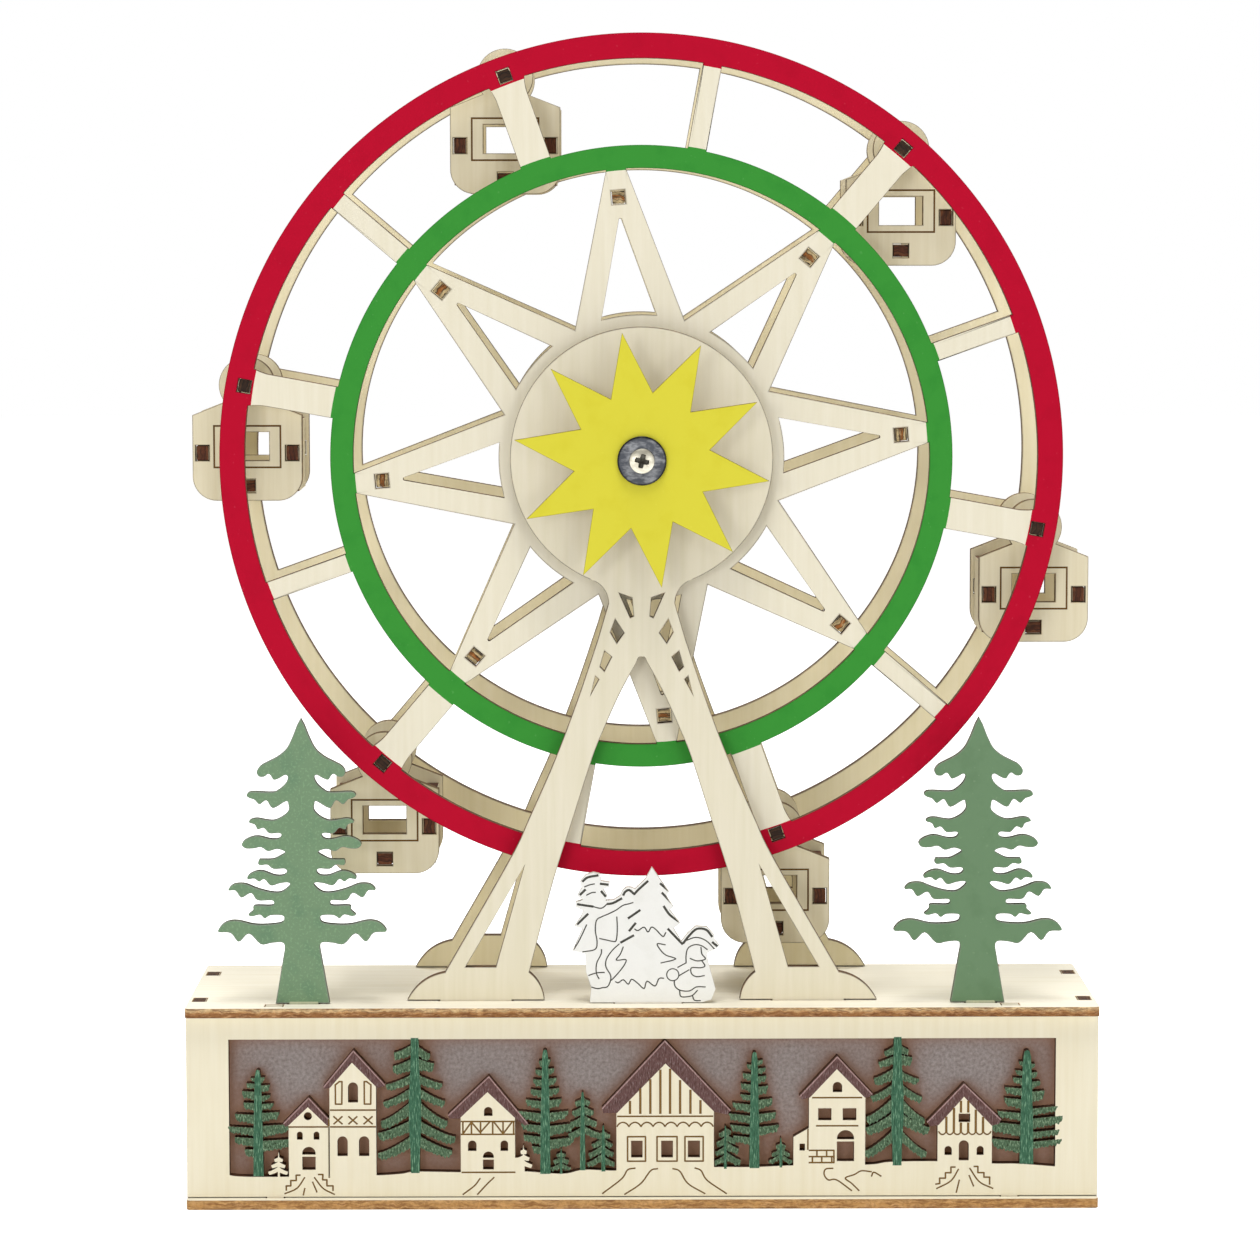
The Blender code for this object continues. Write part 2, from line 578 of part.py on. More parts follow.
# The right half of a deck fir from its tip to its trunk's foot: distance from the middle, height above the deck
DECK_FIR = [
    (1.2, 92.5), (2.9, 88.2), (4.9, 84.6), (7.6, 82.1), (13.3, 79.0), (14.4, 76.6), (12.5, 75.5), (8.9, 74.4),
    (4.6, 75.7), (5.4, 72.9), (9.5, 70.4), (16.7, 70.5), (17.7, 68.8), (13.7, 66.3), (9.3, 65.1), (4.6, 67.1),
    (4.3, 64.3), (8.7, 61.1), (15.7, 61.6), (17.1, 60.3), (14.1, 58.2), (10.5, 56.8), (6.8, 56.6), (7.6, 55.1),
    (14.9, 55.9), (18.7, 54.2), (19.4, 52.5), (15.7, 51.7), (11.0, 50.9), (5.8, 51.0), (9.5, 48.3), (13.9, 48.0),
    (14.1, 46.5), (9.2, 44.9), (5.2, 44.4), (6.5, 42.9), (13.5, 44.4), (17.6, 42.6), (16.5, 41.3), (10.2, 39.5),
    (4.4, 40.1), (6.7, 37.5), (14.8, 38.5), (21.2, 40.1), (24.0, 37.9), (19.9, 35.6), (14.6, 34.6), (9.4, 34.1),
    (10.2, 32.9), (15.6, 32.8), (17.5, 29.6), (12.3, 28.6), (6.4, 28.9), (7.7, 26.9), (16.0, 26.6), (23.2, 27.7),
    (27.5, 24.8), (23.6, 23.6), (20.9, 20.9), (17.5, 23.1), (13.7, 20.1), (6.7, 20.3), (6.2, 15.1), (7.7, 7.3),
    (8.9, GLUE_GAP),
]
DECK_FIR_TIP = 94.7

# The snow scene from its base's left end, clockwise: distance from the middle of the box, height above the deck
SNOW_SCENE = [
    (-17.3, GLUE_GAP), (-16.7, 5.2), (-18.5, 10.5), (-18.8, 16.9), (-22.2, 18.1), (-19.0, 26.0), (-21.9, 31.9),
    (-19.1, 34.4), (-20.6, 37.4), (-19.6, 41.2), (-16.2, 42.7), (-12.6, 40.8), (-11.9, 34.0), (-6.4, 35.0),
    (-5.0, 37.7), (-2.4, 37.5), (1.2, 40.8), (3.2, 45.2), (5.4, 42.0), (8.4, 36.9), (7.6, 35.6), (9.8, 31.9),
    (8.6, 31.1), (11.6, 26.8), (10.0, 24.9), (12.8, 20.0), (14.6, 23.0), (18.0, 24.8), (21.7, 23.1), (23.7, 19.2),
    (21.2, 16.7), (22.4, 11.3), (24.2, 4.7), (22.8, 1.2), (19.8, GLUE_GAP),
]


def make_deck_figures():
    green = material("green_paint", 0x74946F)
    white = material("white_paint", 0xF2F1EE)
    sheet = (0, TREE_PLY)
    outline = both_sides(DECK_FIR) + [(0, DECK_FIR_TIP)]
    tab = rectangle(-TREE_TAB_LENGTH / 2, TREE_TAB_LENGTH / 2, -BOARD, 1)
    for name, side in (("left_tree", -1), ("right_tree", 1)):
        carved(name, [(outline, sheet), (tab, sheet)], green, (side * TREE_OFFSET, TREE_Y, DECK))
    half = SCENE_TAB_LENGTH / 2
    tab = rectangle(SCENE_MIDDLE - half, SCENE_MIDDLE + half, -BOARD, 1)
    carved("snow_scene", [(SNOW_SCENE, sheet), (tab, sheet)], white, (0, TREE_Y, DECK))


# Supports, measured from the axle

# Cut-outs in the right leg below the disc: wedge, diamond, kite and sliver
LEG_CUTS = [
    [(7.4, -44.1), (3.2, -45.6), (2.7, -51.7), (3.8, -52.2)],
    [(8.7, -52.7), (5.8, -57.2), (8.2, -60.6), (10.3, -57.0)],
    [(12.2, -63.2), (9.9, -65.1), (12.3, -69.8), (13.7, -68.4)],
    [(15.2, -71.5), (14.1, -72.5), (16.9, -77.9)],
]
# The slot in the right leg: height above the ankle, and share of the way from the leg's inner to its outer edge
LEG_SLOT = [(35.8, 0.651), (1.9, 0.79), (1.9, 0.423)]


def neck_fillet():
    """The arc that leaves the disc along its edge and ends where the right leg begins."""
    disc = SUPPORT_DISC_RADIUS
    radius = (LEG_NECK ** 2 + LEG_NECK_DROP ** 2 - disc ** 2) / (2 * (disc - LEG_NECK))
    middle = (LEG_NECK + radius, -LEG_NECK_DROP)
    start = math.degrees(math.atan2(LEG_NECK_DROP, -middle[0]))
    return arc(radius, start, 180, 3, middle)


def leg_edge(top, foot, waist):
    """A leg's edge from its top to its foot: the straight line, moved sideways by the waist's distances."""
    ends = [(0, 0)] + waist + [(1, 0)]
    return [(top[0] + (foot[0] - top[0]) * way + inwards, top[1] + (foot[1] - top[1]) * way) for way, inwards in ends]


def leg_edges():
    """The outer and the inner edge of the right leg, each from the top down."""
    ankle = FOOT_HEIGHT - AXLE_HEIGHT
    outer = [(way, -inwards) for way, inwards in LEG_OUTER_WAIST]
    return (leg_edge((LEG_NECK, -LEG_NECK_DROP), (LEG_OUTER_FOOT, ankle), outer),
            leg_edge((CROTCH_RADIUS, -CROTCH_DROP - CROTCH_RADIUS), (LEG_INNER_FOOT, ankle), LEG_INNER_WAIST))


def leg_point(height, share):
    """A point in the right leg, this high above its ankle and this share of the way from its inner to its outer
    edge."""
    z = FOOT_HEIGHT - AXLE_HEIGHT + height
    places = []
    for edge in leg_edges():
        for (x0, z0), (x1, z1) in zip(edge, edge[1:]):
            if z0 >= z >= z1:
                places.append(x0 + (x1 - x0) * (z - z0) / (z1 - z0))
                break
    outer, inner = places
    return (inner + (outer - inner) * share, z)


def support_steps():
    sheet = (0, PLY)
    sole = GLUE_GAP - AXLE_HEIGHT
    outer, inner = leg_edges()
    foot = bulged(outer[-1], (FOOT_OUTER_TIP, sole), FOOT_BULGE)
    instep = bulged((FOOT_INNER_TIP, sole), inner[-1], INSTEP_BULGE)
    crotch = arc(CROTCH_RADIUS, 0, 60, 2, (0, -CROTCH_DROP - CROTCH_RADIUS))
    half = neck_fillet() + outer[1:-1] + foot + instep + inner[1:-1][::-1] + crotch
    steps = [(circle(SUPPORT_DISC_RADIUS, 56), sheet), (both_sides(half), sheet)]
    middle = (FOOT_OUTER_TIP + FOOT_INNER_TIP) / 2
    for side in (-1, 1):
        left, right = side * middle - FOOT_TAB_LENGTH / 2, side * middle + FOOT_TAB_LENGTH / 2
        steps.append((rectangle(left, right, -AXLE_HEIGHT - BOARD, sole + 1), sheet))
    for cut in LEG_CUTS + [[leg_point(*place) for place in LEG_SLOT]]:
        steps += [(cut, None), (mirrored(cut), None)]
    steps.append((circle(AXLE_RUNNING_BORE), None))
    return steps


def make_supports():
    ply = material("birch_plywood", 0xE9DFC4)
    for name, y in (("front_support", FRONT_SUPPORT_Y), ("rear_support", REAR_SUPPORT_Y)):
        carved(name, support_steps(), ply, (0, y, AXLE_Z))


# Wheel, measured from the axle

def spoke(width, flare):
    """A spoke along +X, from inside the green ring to inside the rim."""
    inside = RING_RADIUS - RING_WIDTH / 2
    rim = RIM_RADIUS - RIM_WIDTH
    half = width / 2
    return [
        (inside, -half), (rim - SPOKE_FLARE_LENGTH, -half), (rim, -half - flare), (rim + 1, -half - flare),
        (rim + 1, half + flare), (rim, half + flare), (rim - SPOKE_FLARE_LENGTH, half), (inside, half),
    ]


def star_point():
    """One point of the star along +X, from the hub to inside the green ring, and the slot in it."""
    ring = RING_RADIUS - RING_WIDTH
    valley = polar(HUB_RADIUS + STAR_VALLEY_OUTSIDE_HUB, 180 / STAR_POINTS)
    foot = polar(HUB_RADIUS - 1, STAR_SLOT_HALF_ANGLE)
    half = STAR_TIP_WIDTH / 2
    point = [(0, 0), (valley[0], -valley[1]), (ring, -half), (ring + 1, -half), (ring + 1, half), (ring, half), valley]
    slot = [(STAR_SLOT_RADIUS, 0), foot, (foot[0], -foot[1])]
    return point, slot


def wheel_steps():
    sheet = (0, PLY)
    rim = RIM_RADIUS - RIM_WIDTH
    ring = RING_RADIUS - RING_WIDTH
    steps = [(circle(RIM_RADIUS, 80), sheet), (circle(rim, 80), None)]
    for i in range(GONDOLA_COUNT):
        angle = FIRST_PIVOT_ANGLE + 360 * i / GONDOLA_COUNT
        steps.append((turned_by(spoke(WIDE_SPOKE, SPOKE_FLARE), angle), sheet))
        steps.append((turned_by(spoke(NARROW_SPOKE, 0), angle + 180 / GONDOLA_COUNT), sheet))
    steps += [(circle(RING_RADIUS, 64), sheet), (circle(ring, 64), None)]
    point, slot = star_point()
    angles = [STAR_FIRST_ANGLE + 360 * i / STAR_POINTS for i in range(STAR_POINTS)]
    steps += [(turned_by(point, angle), sheet) for angle in angles]
    steps += [(turned_by(slot, angle), None) for angle in angles]
    steps.append((circle(HUB_RADIUS, 40), sheet))
    mortise = centred(BAR_SIDE + 2 * GLUE_GAP, BAR_SIDE + 2 * GLUE_GAP)
    for radius, angle in star_bar_places() + pivot_places():
        steps.append((turned_by(moved(mortise, radius, 0), angle), None))
    steps.append((circle(AXLE_BORE), None))
    return steps


def star_bar_places():
    return [(STAR_BAR_RADIUS, STAR_FIRST_ANGLE + 360 * i / STAR_POINTS) for i in range(STAR_POINTS)]


def pivot_places():
    return [(PIVOT_RADIUS, FIRST_PIVOT_ANGLE + 360 * i / GONDOLA_COUNT) for i in range(GONDOLA_COUNT)]


def star_outline(points, tip, valley, first):
    found = []
    for i in range(points):
        angle = first + 360 * i / points
        found += [polar(tip, angle), polar(valley, angle + 180 / points)]
    return found


def paint_ring(mesh, inner, outer, paint):
    """Paints the front face between two radii."""
    mesh.materials.append(paint)
    for face in mesh.polygons:
        radius = math.hypot(face.center.x, face.center.y) / MM
        if face.normal.z > 0.5 and inner < radius < outer:
            face.material_index = len(mesh.materials) - 1


def make_wheel(centre):
    """Everything that turns with the wheel, parented to the empty on its axis."""
    ply = material("birch_plywood", 0xE9DFC4)
    front = carved("front_wheel", wheel_steps(), ply, (0, FRONT_WHEEL_Y, 0), parent=centre)
    paint_ring(front.data, RIM_RADIUS - RIM_WIDTH, RIM_RADIUS, material("red_paint", 0xC40D30, 0.5))
    paint_ring(front.data, RING_RADIUS - RING_WIDTH, RING_RADIUS, material("green_ring_paint", 0x349E38, 0.5))
    carved("rear_wheel", wheel_steps(), ply, (0, REAR_WHEEL_Y, 0), parent=centre)

    length = REAR_WHEEL_Y + PLY - FRONT_WHEEL_Y - 2 * BAR_RECESS
    bar = carved_mesh("bar", [(centred(BAR_SIDE, BAR_SIDE), (0, length))])
    bar.materials.append(material("burnt_end_grain", 0x7A4A30))
    for kind, places in (("star_bar", star_bar_places()), ("pivot_bar", pivot_places())):
        for i, (radius, angle) in enumerate(places):
            x, z = polar(radius, angle)
            turn = (math.pi / 2, -math.radians(angle), 0)
            placed(f"{kind}_{i + 1}", bar, (x, FRONT_WHEEL_Y + BAR_RECESS, z), turn, centre)

    make_axle(centre)


def make_axle(centre):
    dowel = material("beech_dowel", 0xD9BE8F)
    steel = material("dark_steel", 0x4A4A4C, 0.35, 1.0)
    bright = material("zinc_screw", 0xC8C8C6, 0.3, 1.0)
    nylon = material("nylon", 0xE8E6E0, 0.5)
    yellow = material("yellow_paint", 0xE4DD48)

    star = star_outline(STAR_KNOB_POINTS, STAR_KNOB_TIP_RADIUS, STAR_KNOB_VALLEY_RADIUS, STAR_KNOB_FIRST_ANGLE)
    steps = [(star, (0, STAR_PLY)), (circle(SCREW_BORE, 20), None)]
    carved("star_knob", steps, yellow, (0, STAR_KNOB_Y, 0), parent=centre)

    axle_front = STAR_KNOB_Y + STAR_PLY + GLUE_GAP
    length = REAR_SUPPORT_Y + PLY + AXLE_STANDS_PROUD - axle_front
    hole = SCREW_DEPTH + SCREW_POINT / 2
    profile = [
        (0, hole), (SCREW_BORE, hole), (SCREW_BORE, 0), (AXLE_RADIUS, 0), (AXLE_RADIUS, length),
        (SCREW_BORE, length), (SCREW_BORE, length - hole), (0, length - hole),
    ]
    turned("axle", profile, dowel, (0, axle_front, 0), parent=centre)

    spacer = FRONT_SUPPORT_Y - GLUE_GAP - axle_front
    turned("star_spacer", tube(SPACER_RADIUS, AXLE_BORE, spacer), dowel, (0, axle_front, 0), parent=centre)
    for name, y, room in (
        ("front_thrust_washer", FRONT_SUPPORT_Y + PLY, FRONT_CLEARANCE),
        ("rear_thrust_washer", REAR_WHEEL_Y + PLY, REAR_CLEARANCE),
    ):
        washer = tube(THRUST_WASHER_RADIUS, AXLE_BORE, room - 2 * GLUE_GAP)
        turned(name, washer, nylon, (0, y + GLUE_GAP, 0), parent=centre)

    washer_y = STAR_KNOB_Y - GLUE_GAP - WASHER_THICKNESS
    washer = tube(WASHER_RADIUS, SCREW_BORE, WASHER_THICKNESS)
    turned("star_washer", washer, steel, (0, washer_y, 0), parent=centre)

    head_y = washer_y - GLUE_GAP - SCREW_HEAD_HEIGHT
    shank = axle_front + SCREW_DEPTH - head_y
    profile = [
        (0, 0), (0.75 * SCREW_HEAD_RADIUS, 0.15 * SCREW_HEAD_HEIGHT), (SCREW_HEAD_RADIUS, 0.5 * SCREW_HEAD_HEIGHT),
        (SCREW_HEAD_RADIUS, SCREW_HEAD_HEIGHT), (SCREW_SHANK_RADIUS, SCREW_HEAD_HEIGHT),
        (SCREW_SHANK_RADIUS, shank - SCREW_POINT), (0, shank),
    ]
    turned("star_screw", profile, bright, (0, head_y, 0), parent=centre)

    flange_y = REAR_SUPPORT_Y + PLY + AXLE_STANDS_PROUD + GLUE_GAP
    deep = SCREW_DEPTH + GLUE_GAP
    head = WASHER_THICKNESS + SCREW_HEAD_HEIGHT
    profile = [
        (0, -deep), (SCREW_SHANK_RADIUS, SCREW_POINT - deep), (SCREW_SHANK_RADIUS, 0), (WASHER_RADIUS, 0),
        (WASHER_RADIUS, WASHER_THICKNESS), (SCREW_HEAD_RADIUS, WASHER_THICKNESS), (SCREW_HEAD_RADIUS, head), (0, head),
    ]
    turned("rear_flange_screw", profile, bright, (0, flange_y, 0), parent=centre)


# Gondolas, measured from their pivot

def wall_outlines():
    """Where the cradle's side walls and floor go through the gondola's plates."""
    return [
        centred(PLY, WALL_TENON_HEIGHT, -WALL_OFFSET, -WALL_TENON_DROP),
        centred(PLY, WALL_TENON_HEIGHT, WALL_OFFSET, -WALL_TENON_DROP),
        centred(FLOOR_TENON_LENGTH, PLY, 0, -FLOOR_DROP),
    ]


def grown(outline, by):
    """A rectangle made larger by this much on each side."""
    xs, ys = [p[0] for p in outline], [p[1] for p in outline]
    return rectangle(min(xs) - by, max(xs) + by, min(ys) - by, max(ys) + by)


def gondola_plate_steps():
    sheet = (0, PLY)
    roof = [(0, -SHOULDER_DROP + GONDOLA_HALF_WIDTH * ROOF_SLOPE), (GONDOLA_HALF_WIDTH, -SHOULDER_DROP)]
    inner = GONDOLA_HALF_WIDTH - GONDOLA_CORNER
    corner = arc(GONDOLA_CORNER, 0, -90, 4, (inner, GONDOLA_CORNER - GONDOLA_DROP))
    body = both_sides(roof[1:] + corner) + roof[:1]
    steps = [(body, sheet), (circle(LOBE_RADIUS, 28), sheet), (circle(PIVOT_BORE, 16), None)]
    steps.append((centred(*CABIN_WINDOW, 0, -CABIN_WINDOW_DROP), None))
    steps += [(grown(tenon, GLUE_GAP), None) for tenon in wall_outlines()]
    return steps


def cradle_steps():
    """The two side walls and the floor, glued into one U, with their tenons."""
    near, far = PLY + GLUE_GAP, GONDOLA_DEPTH - PLY - GLUE_GAP
    outer, low = WALL_OFFSET + PLY / 2, -FLOOR_DROP - PLY / 2
    inner, floor = WALL_OFFSET - PLY / 2, -FLOOR_DROP + PLY / 2
    shell = [(-outer, low), (outer, low), (outer, -WALL_TOP_DROP), (inner, -WALL_TOP_DROP), (inner, floor),
             (-inner, floor), (-inner, -WALL_TOP_DROP), (-outer, -WALL_TOP_DROP)]
    steps = [(shell, (near, far))]
    steps += [(tenon, (GLUE_GAP, GONDOLA_DEPTH - GLUE_GAP)) for tenon in wall_outlines()]
    return steps


def make_gondolas(centre):
    ply = material("birch_plywood", 0xE9DFC4)
    plate = carved_mesh("gondola_plate", gondola_plate_steps())
    cradle = carved_mesh("gondola_cradle", cradle_steps())
    for mesh in (plate, cradle):
        mesh.materials.append(ply)
    for i, (radius, angle) in enumerate(pivot_places()):
        x, z = polar(radius, angle)
        hanger = pivot(f"gondola_{i + 1}_pivot", (x, 0, z), centre)
        name = f"gondola_{i + 1}"
        placed(f"{name}_front", plate, (0, GONDOLA_Y, 0), FACING_FRONT, hanger)
        placed(f"{name}_rear", plate, (0, GONDOLA_Y + GONDOLA_DEPTH - PLY, 0), FACING_FRONT, hanger)
        placed(f"{name}_cradle", cradle, (0, GONDOLA_Y, 0), FACING_FRONT, hanger)


def main():
    for old in list(bpy.data.objects):
        bpy.data.objects.remove(old)
    make_box()
    make_light()
    make_deck_figures()
    make_supports()
    centre = pivot("wheel_axis", (0, 0, AXLE_Z))
    make_wheel(centre)
    make_gondolas(centre)


main()
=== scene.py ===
"""Looks for the wooden ferris wheel decoration. Sheets are laid out flat in millimetres and stood in the frame, in
metres, where the CAD nodes that they replace are."""

import itertools
import json
import math

import bmesh
import bpy
import numpy as np
from mathutils import Matrix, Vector
from mathutils.geometry import delaunay_2d_cdt


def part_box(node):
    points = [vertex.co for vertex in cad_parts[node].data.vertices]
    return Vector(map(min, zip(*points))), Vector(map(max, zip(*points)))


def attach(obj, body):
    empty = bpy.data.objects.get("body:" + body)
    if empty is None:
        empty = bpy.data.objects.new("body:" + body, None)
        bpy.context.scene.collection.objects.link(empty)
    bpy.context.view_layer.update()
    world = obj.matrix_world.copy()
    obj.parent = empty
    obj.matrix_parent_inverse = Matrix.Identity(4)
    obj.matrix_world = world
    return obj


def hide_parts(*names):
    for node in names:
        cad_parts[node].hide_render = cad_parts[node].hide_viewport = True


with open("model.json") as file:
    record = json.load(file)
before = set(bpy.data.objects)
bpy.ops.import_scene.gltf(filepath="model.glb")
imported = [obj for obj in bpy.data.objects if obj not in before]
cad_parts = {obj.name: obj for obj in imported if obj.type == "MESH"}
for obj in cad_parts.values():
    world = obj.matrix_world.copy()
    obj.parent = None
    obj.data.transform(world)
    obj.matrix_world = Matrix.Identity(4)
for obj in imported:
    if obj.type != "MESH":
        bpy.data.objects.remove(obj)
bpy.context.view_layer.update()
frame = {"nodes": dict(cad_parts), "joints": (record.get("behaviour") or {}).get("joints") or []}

MM = 0.001
AXLE = next(np.array(j["pos_m"]) / MM for j in frame["joints"] if j["name"] == "wheel_spin")
PIVOTS = {j["child"]: np.array(j["pos_m"]) / MM for j in frame["joints"] if j["name"].endswith("_swing")}

# The largest shift of a sharp corner's mitre, and the largest share of the shortest edge that a bevel may take
MITRE_LIMIT = 2.2
BEVEL_SHARE = 0.42
# How burnt a point is: bare face, its rounded lip, the cut wall and the floor of an engraved line
FACE, LIP, WALL, ENGRAVED = 0.0, 0.75, 1.0, 2.0


def span(node, axis):
    """The lowest and highest place of a CAD node along an axis, in millimetres."""
    low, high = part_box(node)
    return low[axis] / MM, high[axis] / MM


# Outlines: arrays of points in millimetres, one row each

def points(*pairs):
    """One row for each pair (x, y)."""
    return np.array(pairs, float)


def rectangle(left, right, low, high):
    """Its four corners, anticlockwise from the lower left."""
    return points((left, low), (right, low), (right, high), (left, high))


def centred(width, height, x=0.0, y=0.0):
    """A rectangle about (x, y)."""
    return rectangle(x - width / 2, x + width / 2, y - height / 2, y + height / 2)


def polar(radius, degrees, centre=(0.0, 0.0)):
    """Centre + radius * (cos, sin) of each angle."""
    turn = np.radians(np.atleast_1d(degrees).astype(float))
    return np.array(centre) + np.atleast_1d(radius)[:, None] * np.stack([np.cos(turn), np.sin(turn)], -1)


def arc(radius, start, end, count, centre):
    """Points of a circle at even steps from the start angle to the end angle, in degrees."""
    return polar(radius, np.linspace(start, end, count), centre)


def circle(radius, count, centre=(0.0, 0.0)):
    """A full turn of an arc, anticlockwise, whose last point isn't the first again."""
    return arc(radius, 0, 360, count + 1, centre)[:-1]


def turned(outline, degrees):
    """The outline turned anticlockwise about the origin."""
    c, s = math.cos(math.radians(degrees)), math.sin(math.radians(degrees))
    return outline @ np.array([[c, s], [-s, c]])


def mirrored(outline):
    """The outline with -x for x, in reverse order, so that it still runs anticlockwise."""
    return outline[::-1] * [-1, 1]


def both_sides(half):
    """A closed outline from its right half, which runs from the top to the bottom."""
    return np.concatenate([half, mirrored(half)])


def rounded(width, height, radius, x=0.0, y=0.0):
    """A rectangle about (x, y) whose corners are quarter circles."""
    ends = [(1, 1, 0), (-1, 1, 90), (-1, -1, 180), (1, -1, 270)]
    return np.concatenate([
        arc(radius, start, start + 90, 7, (x + sx * (width / 2 - radius), y + sy * (height / 2 - radius)))
        for sx, sy, start in ends])


def arch(left, right, low, high):
    """A window: straight sides under a half circle."""
    radius = (right - left) / 2
    top = arc(radius, 0, 180, 13, ((left + right) / 2, high - radius))
    return np.concatenate([points((left, low), (right, low)), top])


def bulged(start, end, rise):
    """start + t * (end - start) + 4 t (1 - t) * rise along the left normal, for t from 0 to 1."""
    start, end = np.array(start, float), np.array(end, float)
    t = np.linspace(0, 1, 14)[:, None]
    way = end - start
    normal = np.array([-way[1], way[0]]) / np.hypot(*way)
    return start + t * way + 4 * t * (1 - t) * rise * normal


def smooth(route, per=5):
    """A Catmull-Rom curve through the route's points: each span is a cubic whose end slopes are half the step between
    the neighbours of its ends."""
    route = np.asarray(route, float)
    padded = np.concatenate([2 * route[:1] - route[1:2], route, 2 * route[-1:] - route[-2:-1]])
    p0, p1, p2, p3 = (padded[i:len(padded) - 3 + i, None] for i in range(4))
    t = np.linspace(0, 1, per, endpoint=False)[None, :, None]
    curve = 0.5 * (2 * p1 + (p2 - p0) * t + (2 * p0 - 5 * p1 + 4 * p2 - p3) * t ** 2
                   + (3 * p1 - p0 - 3 * p2 + p3) * t ** 3)
    return np.concatenate([curve.reshape(-1, 2), route[-1:]])


def strokes(route, width):
    """One thin rectangle along each step of a route, a quarter of the width longer at each end."""
    a, b = np.asarray(route[:-1], float), np.asarray(route[1:], float)
    way = b - a
    along = way / np.maximum(np.hypot(way[:, 0], way[:, 1]), 1e-9)[:, None]
    across = np.stack([-along[:, 1], along[:, 0]], -1) * width / 2
    reach = along * width / 4
    corners = np.stack([a - reach - across, b + reach - across, b + reach + across, a - reach + across], 1)
    return list(corners)


def mitre(before, after):
    """(n0 + n1) / (1 + n0 . n1) of the left normals of the steps before and after each corner, limited in length."""
    def left(way):
        """The left normal of each step, (-y, x) over its length."""
        return np.stack([-way[:, 1], way[:, 0]], -1) / np.maximum(np.hypot(way[:, 0], way[:, 1]), 1e-9)[:, None]

    first, second = left(before), left(after)
    found = (first + second) / np.maximum(1 + (first * second).sum(1), 0.05)[:, None]
    length = np.hypot(found[:, 0], found[:, 1])
    return found * np.minimum(1, MITRE_LIMIT / np.maximum(length, 1e-9))[:, None]


# Sheets. A facing is the pair of directions that run right and up on a sheet's face.

FRONT = ((1, 0, 0), (0, 0, 1))
REAR = ((-1, 0, 0), (0, 0, 1))
UP = ((1, 0, 0), (0, 1, 0))
RIGHT = ((0, 1, 0), (0, 0, 1))
LEFT = ((0, -1, 0), (0, 0, 1))


def edges_of(tri, total):
    """The three edges of each triangle, the triangle that each belongs to, and the one across it, or -1."""
    edge = np.concatenate([tri[:, [0, 1]], tri[:, [1, 2]], tri[:, [2, 0]]])
    cell = np.tile(np.arange(len(tri)), 3)
    code, back = edge[:, 0] * total + edge[:, 1], edge[:, 1] * total + edge[:, 0]
    order = np.argsort(code)
    place = np.minimum(np.searchsorted(code[order], back), len(code) - 1)
    return edge, cell, np.where(code[order][place] == back, cell[order][place], -1)


def laid(steps):
    """The flat points and triangles that the steps leave, each triangle's state (1 + engraved + 2 * paint), and the
    names of the paints. All outlines are triangulated together and the steps are done on those triangles. Then only
    the edges where the state changes are triangulated again: a triangle beside such an edge takes the state that the
    edge had on its side, and the others take it over from their neighbours."""
    outlines = []
    for outline, _ in steps:
        following = np.roll(outline, -1, 0)
        area = (outline[:, 0] * following[:, 1] - outline[:, 1] * following[:, 0]).sum()
        outlines.append(outline if area > 0 else outline[::-1])
    ends = np.cumsum([len(o) for o in outlines])
    loops = [list(range(end - len(o), end)) for o, end in zip(outlines, ends)]
    corners = [tuple(p) for p in np.concatenate(outlines).tolist()]
    flat, _, cells, _, _, owners = delaunay_2d_cdt(corners, [], loops, 1, 1e-4, True)
    flat, cells = np.array([tuple(p) for p in flat]), np.array(cells)
    counts = np.fromiter(map(len, owners), int)
    inside = np.zeros((len(cells), len(steps)), bool)
    inside[np.repeat(np.arange(len(cells)), counts), list(itertools.chain.from_iterable(owners))] = True
    paints = []
    solid, low = np.zeros(len(cells), bool), np.zeros(len(cells), bool)
    paint = np.zeros(len(cells), int)
    for number, (_, mark) in enumerate(steps):
        here = inside[:, number]
        if mark == "wood":
            solid |= here
        if mark == "cut":
            solid &= ~here
        low = (low | here) if mark == "groove" else (low & ~here)
        if mark in ("wood", "bare"):
            paint[here] = 0
        elif mark not in ("cut", "groove"):
            if mark not in paints:
                paints.append(mark)
            paint[here] = paints.index(mark) + 1
    state = np.where(solid, 1 + low + 2 * np.where(low, 0, paint), 0)

    edge, cell, across = edges_of(cells, len(flat))
    beyond = np.where(across < 0, 0, state[across])
    keep = (state[cell] != beyond) & ((across < 0) | (edge[:, 0] < edge[:, 1]))
    used, pairs = np.unique(edge[keep], return_inverse=True)
    pairs, total = pairs.reshape(-1, 2), len(used)
    _, _, tri, source, _, _ = delaunay_2d_cdt(
        [tuple(p) for p in flat[used].tolist()], [tuple(p) for p in pairs.tolist()], [], 1, 1e-6, True)
    source = np.array([s[0] for s in source])
    tri = source[np.array(tri)]
    codes = np.concatenate([pairs[:, 0] * total + pairs[:, 1], pairs[:, 1] * total + pairs[:, 0]])
    sides = np.concatenate([state[cell[keep]], beyond[keep]])
    order = np.argsort(codes)
    edge, cell, across = edges_of(tri, total)
    code = edge[:, 0] * total + edge[:, 1]
    place = np.minimum(np.searchsorted(codes[order], code), len(codes) - 1)
    known = codes[order][place] == code
    found = np.full(len(tri), -1)
    found[cell[known]] = sides[order][place][known]
    for _ in range(400):
        ready = (found[cell] < 0) & (across >= 0) & (found[across] >= 0)
        if not ready.any():
            break
        found[cell[ready]] = found[across[ready]]
    return flat[used], tri[found > 0], found[found > 0], paints


